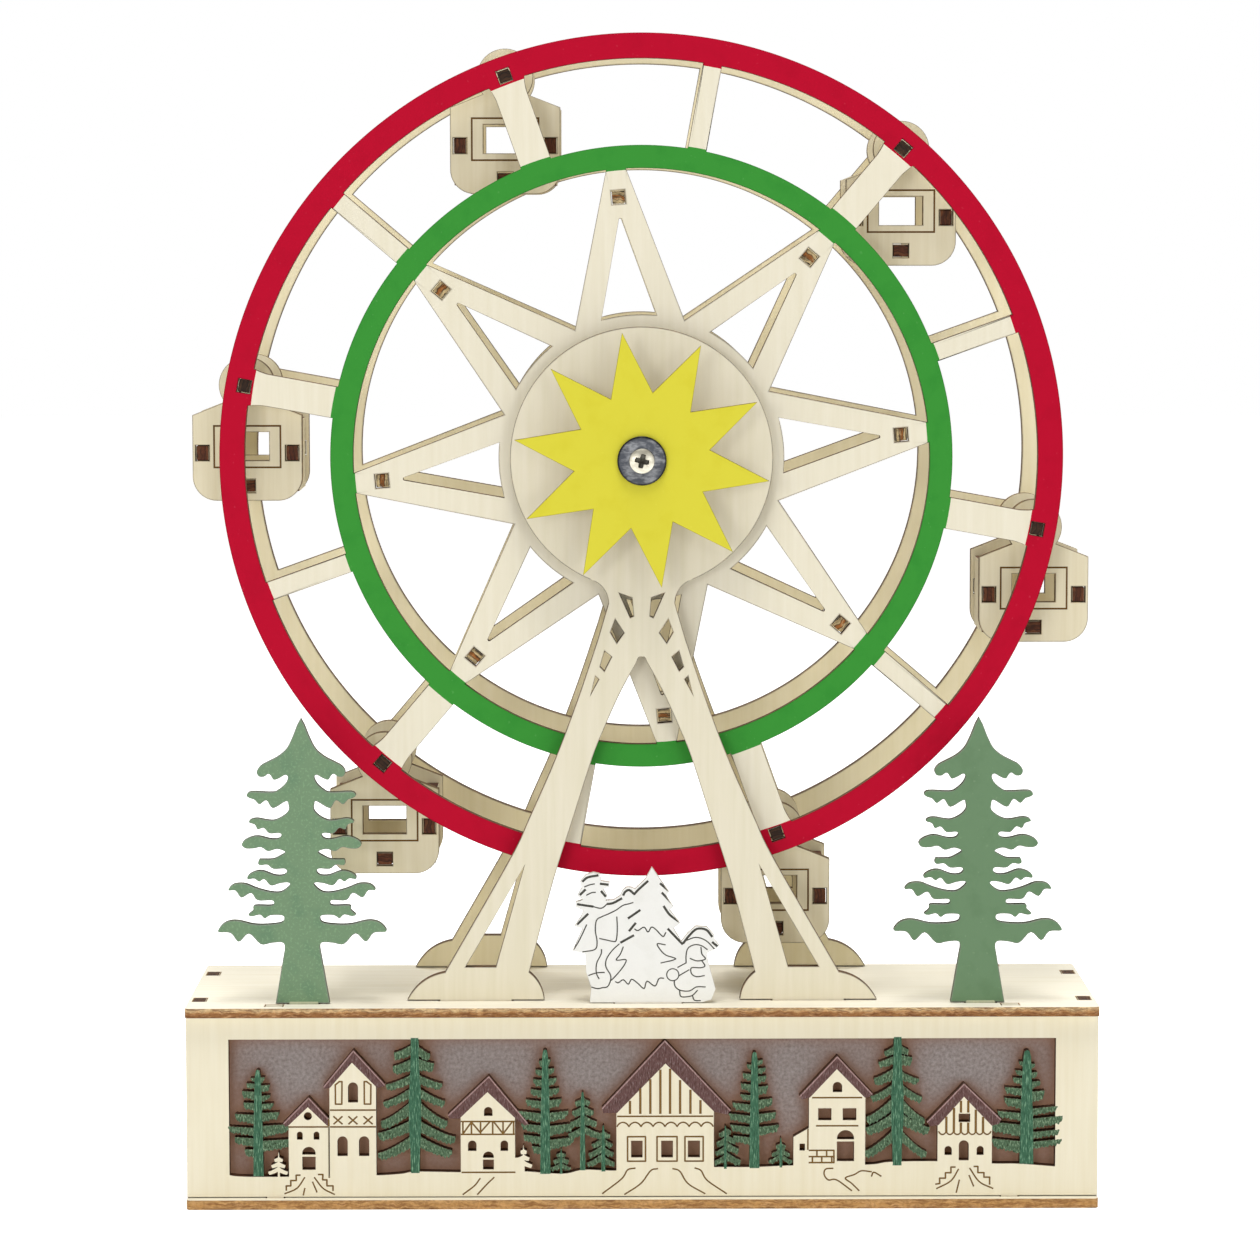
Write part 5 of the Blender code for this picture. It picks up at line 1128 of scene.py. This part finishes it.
# Painted firs: tip, trunk's left and right edge, foot, how steeply the boughs hang, and the tips of the boughs on the
# left and on the right, from the top down; a third number is the height at which that bough leaves the trunk
FIRS = [
    ((-126.5, 46.0), (-128.2, -124.8), 10.4, -0.06,
     [(-128.9, 43.4), (-130.2, 41.6), (-131.7, 39.0), (-131.3, 35.2), (-134.1, 31.4), (-136.4, 27.2), (-134.2, 23.6),
      (-131.0, 19.6)],
     [(-124.2, 43.6), (-122.6, 41.0), (-122.5, 37.6), (-121.4, 34.9), (-119.5, 32.0), (-116.1, 27.9),
      (-115.9, 22.9)]),
    ((-74.85, 56.5), (-76.7, -73.0), 11.4, 0.5,
     [(-81.7, 51.7, 54.9), (-82.1, 47.2, 50.2), (-84.4, 41.1, 44.9), (-85.3, 35.3, 40.8), (-86.1, 28.9, 36.6),
      (-87.1, 24.9, 29.9), (-87.1, 18.2, 24.75)],
     [(-69.8, 51.35, 54.9), (-68.5, 48.1, 50.2), (-65.8, 41.4, 44.9), (-65.0, 35.6, 40.8), (-64.2, 28.9, 36.6),
      (-61.6, 23.6, 29.9), (-62.7, 19.1, 24.75)]),
    ((-12.9, 27.2), (-13.6, -12.2), 11.8, 0.6,
     [(-15.2, 24.0), (-16.8, 21.0), (-17.8, 18.0), (-18.4, 14.8)],
     [(-10.6, 24.2), (-9.8, 21.2), (-9.4, 18.2), (-9.2, 15.0)]),
    ((-19.7, 38.4), (-20.6, -18.8), 12.2, 0.5,
     [(-22.2, 35.2), (-23.2, 32.0), (-23.8, 28.4), (-24.4, 24.6)], [(-17.2, 35.4), (-16.0, 32.2), (-15.0, 28.6),
                                                                    (-14.2, 24.8)]),
    ((-32.0, 52.5), (-33.7, -30.3), 11.0, -0.12,
     [(-34.0, 49.0), (-35.2, 46.0), (-36.0, 42.8), (-36.8, 39.4), (-38.4, 36.0), (-40.9, 32.2), (-39.9, 28.0),
      (-39.2, 24.2), (-36.4, 20.4)],
     [(-30.2, 49.4), (-29.0, 46.4), (-28.2, 43.2), (-27.4, 39.8), (-26.6, 36.2), (-24.4, 32.2), (-22.8, 28.0),
      (-22.6, 23.4)]),
    ((-26.8, 19.5), (-27.2, -26.4), 11.0, 0.5,
     [(-28.4, 17.6), (-29.4, 15.6), (-30.2, 13.2)], [(-25.2, 17.6), (-24.2, 15.6), (-23.6, 13.2)]),
    ((27.3, 27.0), (26.8, 27.8), 12.6, 0.6,
     [(25.2, 24.6), (24.4, 21.6), (24.0, 18.4), (23.8, 15.4)],
     [(29.2, 25.4), (30.9, 22.4), (31.8, 19.4), (32.4, 15.6)]),
    ((36.9, 51.6), (35.2, 38.6), 12.8, -0.12,
     [(34.4, 47.6), (33.0, 44.6), (32.4, 41.2), (32.2, 37.6), (29.6, 34.8), (28.4, 31.2), (28.9, 27.4), (29.9, 23.8)],
     [(39.6, 49.0), (40.6, 46.4), (40.8, 43.8), (41.4, 40.4), (42.8, 36.2), (44.0, 31.6), (45.0, 27.4)]),
    ((45.6, 22.9), (45.1, 46.1), 13.0, 0.6,
     [(44.0, 20.4), (42.6, 17.8), (41.6, 15.4)], [(47.2, 20.4), (48.6, 17.8), (49.4, 15.4)]),
    ((83.9, 56.5), (82.1, 85.8), 13.6, 0.6,
     [(79.6, 51.8, 54.6), (77.7, 48.3, 50.9), (76.2, 42.9, 47.0), (75.1, 36.9, 42.0), (73.8, 30.0, 37.8),
      (73.5, 26.4, 32.4), (73.2, 18.6, 27.0)],
     [(87.6, 52.4, 54.6), (88.8, 49.8, 50.9), (91.1, 42.6, 45.8), (92.1, 36.6, 42.0), (93.0, 29.4, 37.8),
      (94.6, 26.4, 32.1), (93.7, 18.3, 27.0)]),
    ((126.4, 52.0), (124.3, 128.9), 14.0, -0.1,
     [(124.0, 48.4), (122.8, 45.4), (122.0, 43.0), (119.4, 39.8), (119.2, 36.2), (117.0, 31.8), (114.6, 28.2),
      (115.2, 22.6)],
     [(129.2, 47.6), (130.0, 44.8), (131.0, 41.8), (132.4, 38.6), (136.8, 33.4), (138.4, 30.2), (137.4, 25.6),
      (138.2, 22.4)]),
]
# Bare firs: the same, standing in the snow without paint
BARE_FIRS = [
    ((-119.8, 18.4), (-120.2, -119.4), 9.4, 0.5, [(-121.3, 16.2), (-122.3, 14.2), (-123.3, 12.0)],
     [(-118.4, 16.2), (-117.6, 14.2), (-116.8, 12.0)]),
    ((-39.2, 20.6), (-39.5, -38.9), 11.2, 0.5, [(-40.2, 18.8), (-40.9, 16.6), (-41.5, 14.2)],
     [(-38.1, 18.8), (-37.2, 16.6), (-36.3, 14.2)]),
]


def bough(root, tip, fall, drop, seed, comb):
    """A bough from the trunk's middle to its tip, t from 0 to 1. Its top edge is fall * (1 - t)^1.35 above the tip,
    so that it flattens outwards, and is notched every 1.35 mm. Its underside hangs drop * (0.78 - 0.26 t) below,
    rounded off over the last tenth, and combed into slanting needles 1.25 mm apart and tufts 2.9 mm apart."""
    length = abs(tip[0] - root)
    t = np.linspace(0, 1, max(int(length / 0.3), 8))
    x = root + (tip[0] - root) * t
    top = tip[1] + fall * (1 - t) ** 1.35 if fall > 0 else tip[1] + fall * (1 - t)
    needle = (t * length / 1.25 + 0.37 * seed) % 1
    coarse = (t * length / 2.9 + 0.29 * seed) % 1
    ragged = (0.8 * needle + 0.55 * coarse - 0.6) * (0.45 + 0.55 * t)
    under = top - drop * (0.78 - 0.26 * t) * np.sqrt(np.clip((1.02 - t) / 0.12, 0, 1)) - comb * ragged
    notch = 0.35 * comb * np.abs(((t * length / 1.35 + 0.21 * seed) % 1) - 0.5)
    upper = np.stack([x, top - notch], -1)
    lower = np.stack([x, np.minimum(under, top - 0.45)], -1)
    return np.concatenate([upper, lower[::-1]])


def trunk_of(tip, trunk, foot):
    """A trunk that is widest in its lower half. One that ends above the window goes on into its frame."""
    middle, half = (trunk[0] + trunk[1]) / 2, (trunk[1] - trunk[0]) / 2
    height = tip[1] - foot
    if tip[1] > 56:
        side = points((0.8 * half, foot), (0.85 * half, foot + 0.15 * height), (1.1 * half, foot + 0.35 * height),
                      (1.1 * half, foot + 0.55 * height), (0.75 * half, foot + 0.8 * height), (0.7 * half, tip[1]))
    else:
        side = points((half, foot), (0.9 * half, foot + 0.4 * height), (0.7 * half, foot + 0.75 * height),
                      (0.55 * half, tip[1] - 2.2), (0.35 * half, tip[1] - 0.3), (0.1, tip[1]))
    return np.concatenate([side, side[::-1] * [-1, 1]]) + [middle, 0]


def fir(tip, trunk, foot, hang, left, right, comb=1.0):
    """The outlines of a fir's boughs, and its trunk last. A tip may give the height where its bough leaves."""
    middle, found = (trunk[0] + trunk[1]) / 2, []
    for tips in (left, right):
        heights = [end[-1] for end in tips]
        drops = -np.diff(heights, append=2 * heights[-1] - heights[-2])
        for number, (end, drop) in enumerate(zip(tips, drops)):
            fall = end[2] - end[1] if len(end) > 2 else hang * abs(end[0] - middle)
            found.append(bough(middle, end, fall, min(drop, 5.6), number + abs(round(tip[0])), comb))
    return found + [trunk_of(tip, trunk, foot)]


def village_steps():
    """The front panel: frame, window, then snow, firs and houses standing in it, their paint, windows and lines."""
    steps = panel(BOX_WIDTH / 2, 5.5, TABS) + [(rectangle(-136, 136, 5.0, 56.0), "cut")]
    ground = smooth(SNOW, 6)
    steps.append((np.concatenate([points((-137, 4), (137, 4)), ground[::-1]]), "wood"))
    for tree in FIRS:
        outlines = fir(*tree)
        steps += [(outline, "wood") for outline in outlines]
        steps += [(outline, "bough_green") for outline in outlines[:-1]] + [(outlines[-1], "trunk_green")]
    steps += [(outline, "wood") for tree in BARE_FIRS for outline in fir(*tree, comb=0.0)]
    steps += [(points((49.7, 8), (55.5, 8), (55.5, 26.6), (49.7, 23.2)), "wood"),
              (rectangle(-42, -38.8, 11, 16.5), "wood")]
    for house in HOUSES:
        # A pale stroke just under each roof's upper edges is a painted highlight
        highlight_route = np.concatenate([house["roof"][-2:], house["roof"][:1]]) - [0, 0.45]
        steps += [(house["walls"], "wood"), (house["roof"], "wood"), (house["roof"], "roof_mauve")]
        steps += [(stroke, "roof_line") for stroke in strokes(highlight_route, 0.35)]
    steps += [(window, "cut") for window in WINDOWS]
    for width, routes in ((0.55, LINES), (0.8, BOARDS)):
        for route in routes:
            steps += [(stroke, "groove") for stroke in strokes(route, width)]
    for route in CURVES:
        steps += [(stroke, "groove") for stroke in strokes(smooth(route, 7), 0.5)]
    for start, end, count, cusp, rise in ((-8.4, 23.3, 8, 26.8, 1.4), (97.6, 114.8, 7, 24.9, -1.0)):
        along = np.linspace(start, end, count * 8 + 1)
        wave = cusp + rise * np.abs(np.sin(np.pi * (along - start) / (end - start) * count)) ** 0.7
        steps += [(stroke, "groove") for stroke in strokes(np.stack([along, wave], -1), 0.5)]
    return steps


# Deck figures, in millimetres above the deck: the right half of a fir from its tip down, and the snow scene

DECK_FIR = points(
    (0, 94.7), (1.2, 92.5), (2.9, 88.2), (4.8, 84.6), (7.6, 82.1), (11, 80.3), (13.3, 79), (14.5, 77.2),
    (13.9, 75.6), (12.2, 75.4), (10.8, 76.3), (9.9, 75.8), (8.9, 74.4), (7, 75), (5.2, 76), (4.3, 75.2),
    (5.2, 73.1), (7.4, 71.1), (9.5, 70.3), (16.4, 70.5), (17.9, 69.3), (17, 68.4), (15.3, 67.8), (13.7, 66.3),
    (11.4, 67.6), (9.3, 65), (5, 67.3), (4.2, 66.2), (4.2, 64.3), (6, 62.4), (8.7, 61.1), (11, 61.1), (14.5, 61.7),
    (16.6, 61.3), (17.2, 60.3), (15.3, 59.6), (14.3, 58), (12.4, 58.5), (10.5, 56.7), (7.4, 56.8), (6.6, 56.1),
    (7.6, 55), (10.3, 54.9), (14.1, 55.8), (16.8, 55.4), (19, 54.2), (19.6, 52.8), (18.3, 51.7), (15.7, 51.7),
    (13.3, 52.1), (11, 50.8), (8, 51.5), (5.4, 50.5), (7.4, 49.1), (9.5, 48.2), (13, 48.1), (14, 48), (14.3, 46.6),
    (13.3, 46.1), (11.3, 46.3), (9.2, 44.9), (5.7, 45), (4.9, 44), (6.1, 42.9), (9, 42.9), (12.9, 44.3), (15.6, 44),
    (17.7, 42.7), (17.7, 41.5), (15.6, 41.7), (14, 40.7), (12.3, 41.5), (10.2, 39.4), (7.3, 40.1), (4.7, 40.4),
    (4, 39.6), (6.7, 37.4), (10.2, 37.3), (14.8, 38.5), (18.6, 40), (21.8, 40), (23.5, 39.1), (24.1, 37.8),
    (21.8, 37.7), (19.9, 35.4), (16.7, 36.9), (14.6, 34.5), (10, 34.5), (9.2, 33.6), (10.2, 32.8), (15.6, 32.8),
    (16.1, 31.2), (17.7, 29.7), (16.3, 29.2), (13.8, 29.7), (12.3, 28.5), (10.4, 29.5), (6.7, 29.5), (5.9, 28.5),
    (6.9, 27.1), (11.4, 26.5), (16, 26.6), (20.7, 27.7), (23.7, 27.7), (26, 26.7), (27.6, 24.8), (27.2, 23.9),
    (23.5, 23.6), (20.9, 20.7), (17.5, 23.4), (13.7, 19.9), (10.2, 20.3), (6.7, 20.5), (5.8, 19), (6.4, 15.1),
    (7.7, 7.3), (8.9, 0.3))
SNOW_SCENE = points(
    (-17.3, 0.3), (-16.8, 5.2), (-18.5, 10.5), (-18.8, 16.6), (-22.9, 17.5), (-19.6, 24.9), (-22.2, 25.7),
    (-19.9, 29.2), (-19.4, 31.0), (-22.0, 32.2), (-21.9, 33.7), (-19.5, 34.5), (-21.3, 35.8), (-19.9, 38.4),
    (-20.4, 40.4), (-18.6, 42.7), (-16.0, 43.5), (-13.9, 43.0), (-13.4, 40.7), (-10.6, 40.3), (-10.7, 38.8),
    (-12.8, 38.0), (-11.4, 35.6), (-11.9, 34.2), (-9.4, 34.4), (-7.2, 35.8), (-6.4, 37.6), (-5.2, 38.6), (-3.6, 38.6),
    (-2.4, 38.0), (1.2, 41.5), (3.2, 45.2), (5.4, 42.0), (8.9, 37.0), (7.9, 35.8), (10.3, 32.0), (9.0, 31.1),
    (12.5, 26.6), (10.4, 24.9), (12.9, 20.6), (14.9, 23.2), (17.6, 25.6), (21.3, 25.4), (23.8, 22.5), (24.0, 20.9),
    (25.4, 19.2), (24.5, 18.2), (22.4, 17.2), (21.2, 16.5), (22.4, 11.3), (24.2, 4.7), (22.8, 1.2), (19.8, 0.3))


def make_figures():
    """Two painted firs, each a little to the left of its slot's middle, and the engraved snow scene."""
    deck = span("top_board", 2)[1]
    half = np.concatenate([DECK_FIR[:1], smooth(DECK_FIR[1:-1], 4), DECK_FIR[-1:]])
    outline = np.concatenate([half[1:], mirrored(half)])
    for name, place, green, shift in (("left_tree", -FIR_PLACE, "fir_green", -0.3),
                                      ("right_tree", FIR_PLACE, "fir_green_dark", -1.0)):
        near, far = span(name, 1)
        silhouette = outline + [shift, 0]
        steps = [(silhouette, "wood"), (centred(10.0, 4.2, 0, -1.1), "wood"), (silhouette, green)]
        made = sheet(steps, FRONT, (place, near, deck), far - near, bevel=0.15, halo=0.35, seed=31)
        built(name + "_fir", "base", [made], FIR_PLY, [name])
    near, far = span("snow_scene", 1)
    steps = [(SNOW_SCENE, "wood"), (centred(22.0, 4.2, 2.0, -1.1), "wood"), (SNOW_SCENE, "snow_white")]

    def scene(route):
        """From the units in which the lines were measured to millimetres above the deck."""
        return (np.array(route, float) - SCENE_FOOT) * SCENE_SCALE

    for width, routes in ((0.42, SCENE_LINES), (0.8, SCENE_CUTS)):
        for route in routes:
            steps += [(stroke, "groove") for stroke in strokes(smooth(scene(route), 4), width)]
    head = scene((1050, 1170))
    steps += [(circle(2.2, 30, head), "groove"), (circle(1.8, 30, head), "snow_white")]
    made = sheet(steps, FRONT, (0, near, deck), far - near, bevel=0.12, groove=0.5, seed=33)
    built("snow_scene_cutout", "base", [made], WHITE_PLY, ["snow_scene"])


# The snow scene's thin and wide engraved lines, in units of a thirtieth of a millimetre, with Y down
SCENE_FOOT = (741, 1461)
SCENE_SCALE = (1 / 30.7, -1 / 30.57)
SCENE_LINES = [
    [(160, 275), (210, 255), (260, 245)], [(180, 360), (230, 335), (270, 330)],
    [(244, 475), (329, 492), (389, 449)],
    [(650, 435), (600, 450), (545, 465), (480, 510), (400, 550),
     (330, 580), (280, 615), (268, 720), (285, 830), (265, 910), (140, 935)],
    [(310, 800), (380, 815), (450, 830), (480, 815), (490, 700), (485, 580)], [(50, 910), (110, 810), (180, 660)],
    [(330, 910), (325, 960), (285, 1040), (275, 1100), (280, 1160), (305, 1210)],
    [(200, 1175), (280, 1150), (360, 1145)],
    [(510, 855), (440, 920), (380, 1010), (375, 1090), (420, 1170),
     (420, 1230), (390, 1290), (340, 1300), (290, 1310), (230, 1295)],
    [(550, 885), (520, 960), (480, 1020), (575, 1015), (560, 1070), (500, 1150), (430, 1225)],
    [(665, 705), (700, 720), (760, 685), (800, 735), (835, 685), (880, 710), (950, 780), (980, 740)],
    [(975, 865), (895, 855), (920, 910), (980, 970), (1080, 1010), (930, 1050)],
    [(470, 1240), (500, 1250), (550, 1220), (600, 1265), (635, 1215),
     (700, 1260), (760, 1310), (790, 1235), (870, 1285), (910, 1210), (960, 1205)],
    [(1182, 824), (1284, 790), (1387, 824), (1472, 910)],
    [(1185, 1050), (1185, 970), (1205, 900), (1270, 865), (1340, 875), (1400, 915)],
    [(1335, 890), (1345, 960), (1380, 1010), (1300, 1030), (1225, 1005)],
    [(1345, 1030), (1375, 1080), (1330, 1100), (1240, 1100), (1240, 1160), (1290, 1190), (1370, 1180)],
    [(1185, 1050), (1100, 1095)], [(1130, 1170), (1215, 1120)],
    [(1130, 1170), (1070, 1220), (1075, 1290), (1130, 1330), (1220, 1335), (1290, 1295), (1380, 1295)],
    [(1120, 1330), (1130, 1390), (1190, 1395), (1250, 1380), (1300, 1330)],
    [(1250, 1385), (1270, 1430), (1330, 1435)],
]
SCENE_CUTS = [
    [(141, 219), (193, 179), (295, 159)], [(321, 244), (397, 253)], [(116, 355), (167, 304)],
    [(329, 321), (372, 372)], [(90, 452), (244, 475)], [(87, 654), (193, 551)], [(602, 594), (718, 514)],
    [(611, 722), (674, 645)], [(525, 841), (653, 770)], [(926, 244), (1003, 312)], [(943, 338), (1046, 449)],
    [(960, 475), (1020, 560), (1110, 628)], [(1003, 705), (1148, 858)],
    [(1156, 850), (1216, 773), (1293, 705), (1387, 713), (1447, 782)], [(1452, 841), (1498, 879)],
    [(389, 449), (448, 440), (534, 394)], [(551, 360), (571, 326), (611, 309), (662, 350)],
    [(662, 350), (704, 304), (798, 219)],
]


# Floor and light

def make_stage():
    """A pale floor and a soft world that read as white to the camera, and keep the object's shadow; two wide lamps
    above and behind, and two small weak softboxes in front. A lamp's matrix turns it to the point 0.2 m above the
    floor's middle."""
    made, tree, principled = shader("floor_white_card", Roughness=0.9)
    place = add(tree, "ShaderNodeTexCoord").outputs["Object"]
    tone = noise(tree, place, (3, 3, 3), 2).outputs["Fac"]
    tree.links.new(ramp(tree, tone, (0.3, "#F4F4F3"), (0.7, "#F8F8F7")), principled.inputs["Base Color"])
    path = add(tree, "ShaderNodeLightPath")
    seen = add(tree, "ShaderNodeMath", {0: path.outputs["Is Camera Ray"], 1: path.outputs["Is Glossy Ray"]},
               operation="MAXIMUM").outputs[0]
    strength = add(tree, "ShaderNodeMath", {0: seen, 1: 0.62}, operation="MULTIPLY").outputs[0]
    glow = add(tree, "ShaderNodeEmission", {"Color": (1, 1, 1, 1), "Strength": strength})
    both = add(tree, "ShaderNodeAddShader", {0: principled.outputs[0], 1: glow.outputs[0]})
    tree.links.new(both.outputs[0], tree.nodes["Material Output"].inputs["Surface"])
    mesh = bpy.data.meshes.new("floor")
    mesh.from_pydata([(-6, -6, 0), (6, -6, 0), (6, 6, 0), (-6, 6, 0)], [], [(0, 1, 2, 3)])
    mesh.materials.append(made)
    floor = bpy.data.objects.new("floor", mesh)
    bpy.context.scene.collection.objects.link(floor)

    world = bpy.data.worlds.new("studio")
    bpy.context.scene.world = world
    world.use_nodes = True
    tree = world.node_tree
    soft = tree.nodes["Background"]
    soft.inputs["Color"].default_value = (1.0, 0.98, 0.94, 1)
    soft.inputs["Strength"].default_value = 0.44
    white = add(tree, "ShaderNodeBackground", {"Color": (1, 1, 1, 1), "Strength": 1.0})
    path = add(tree, "ShaderNodeLightPath")
    seen = add(tree, "ShaderNodeMath", {0: path.outputs["Is Camera Ray"], 1: path.outputs["Is Transmission Ray"]},
               operation="MAXIMUM").outputs[0]
    both = add(tree, "ShaderNodeMixShader", {0: seen, 1: soft.outputs[0], 2: white.outputs[0]})
    tree.links.new(both.outputs[0], tree.nodes["World Output"].inputs["Surface"])

    for name, place, size, power in (
            ("top_strip", (0.0, -0.4, 1.9), (0.5, 1.0), 21.5),
            ("left_softbox", (-0.75, -1.6, 0.45), (0.5, 0.35), 4.2),
            ("right_softbox", (0.9, -1.6, 0.4), (0.5, 0.35), 2.6),
            ("rear_top", (0.0, 0.9, 1.6), (1.2, 0.6), 14.0)):
        lamp = bpy.data.lights.new(name, "AREA")
        lamp.shape, lamp.size, lamp.size_y, lamp.energy = "RECTANGLE", *size, power
        holder = bpy.data.objects.new(name, lamp)
        back = np.array(place) - (0, 0, 0.2)
        back /= np.linalg.norm(back)
        side = np.cross((0, 0, 1.0), back)
        side /= np.linalg.norm(side)
        turn = np.eye(4)
        turn[:3, :3] = np.column_stack([side, np.cross(back, side), back])
        turn[:3, 3] = place
        holder.matrix_world = Matrix(turn.tolist())
        bpy.context.scene.collection.objects.link(holder)
    bpy.context.scene.view_settings.view_transform = "Standard"


make_camera()
make_box()
make_figures()
make_supports()
make_wheels()
make_gondolas()
make_axle()
make_stage()

bpy.context.view_layer.update()
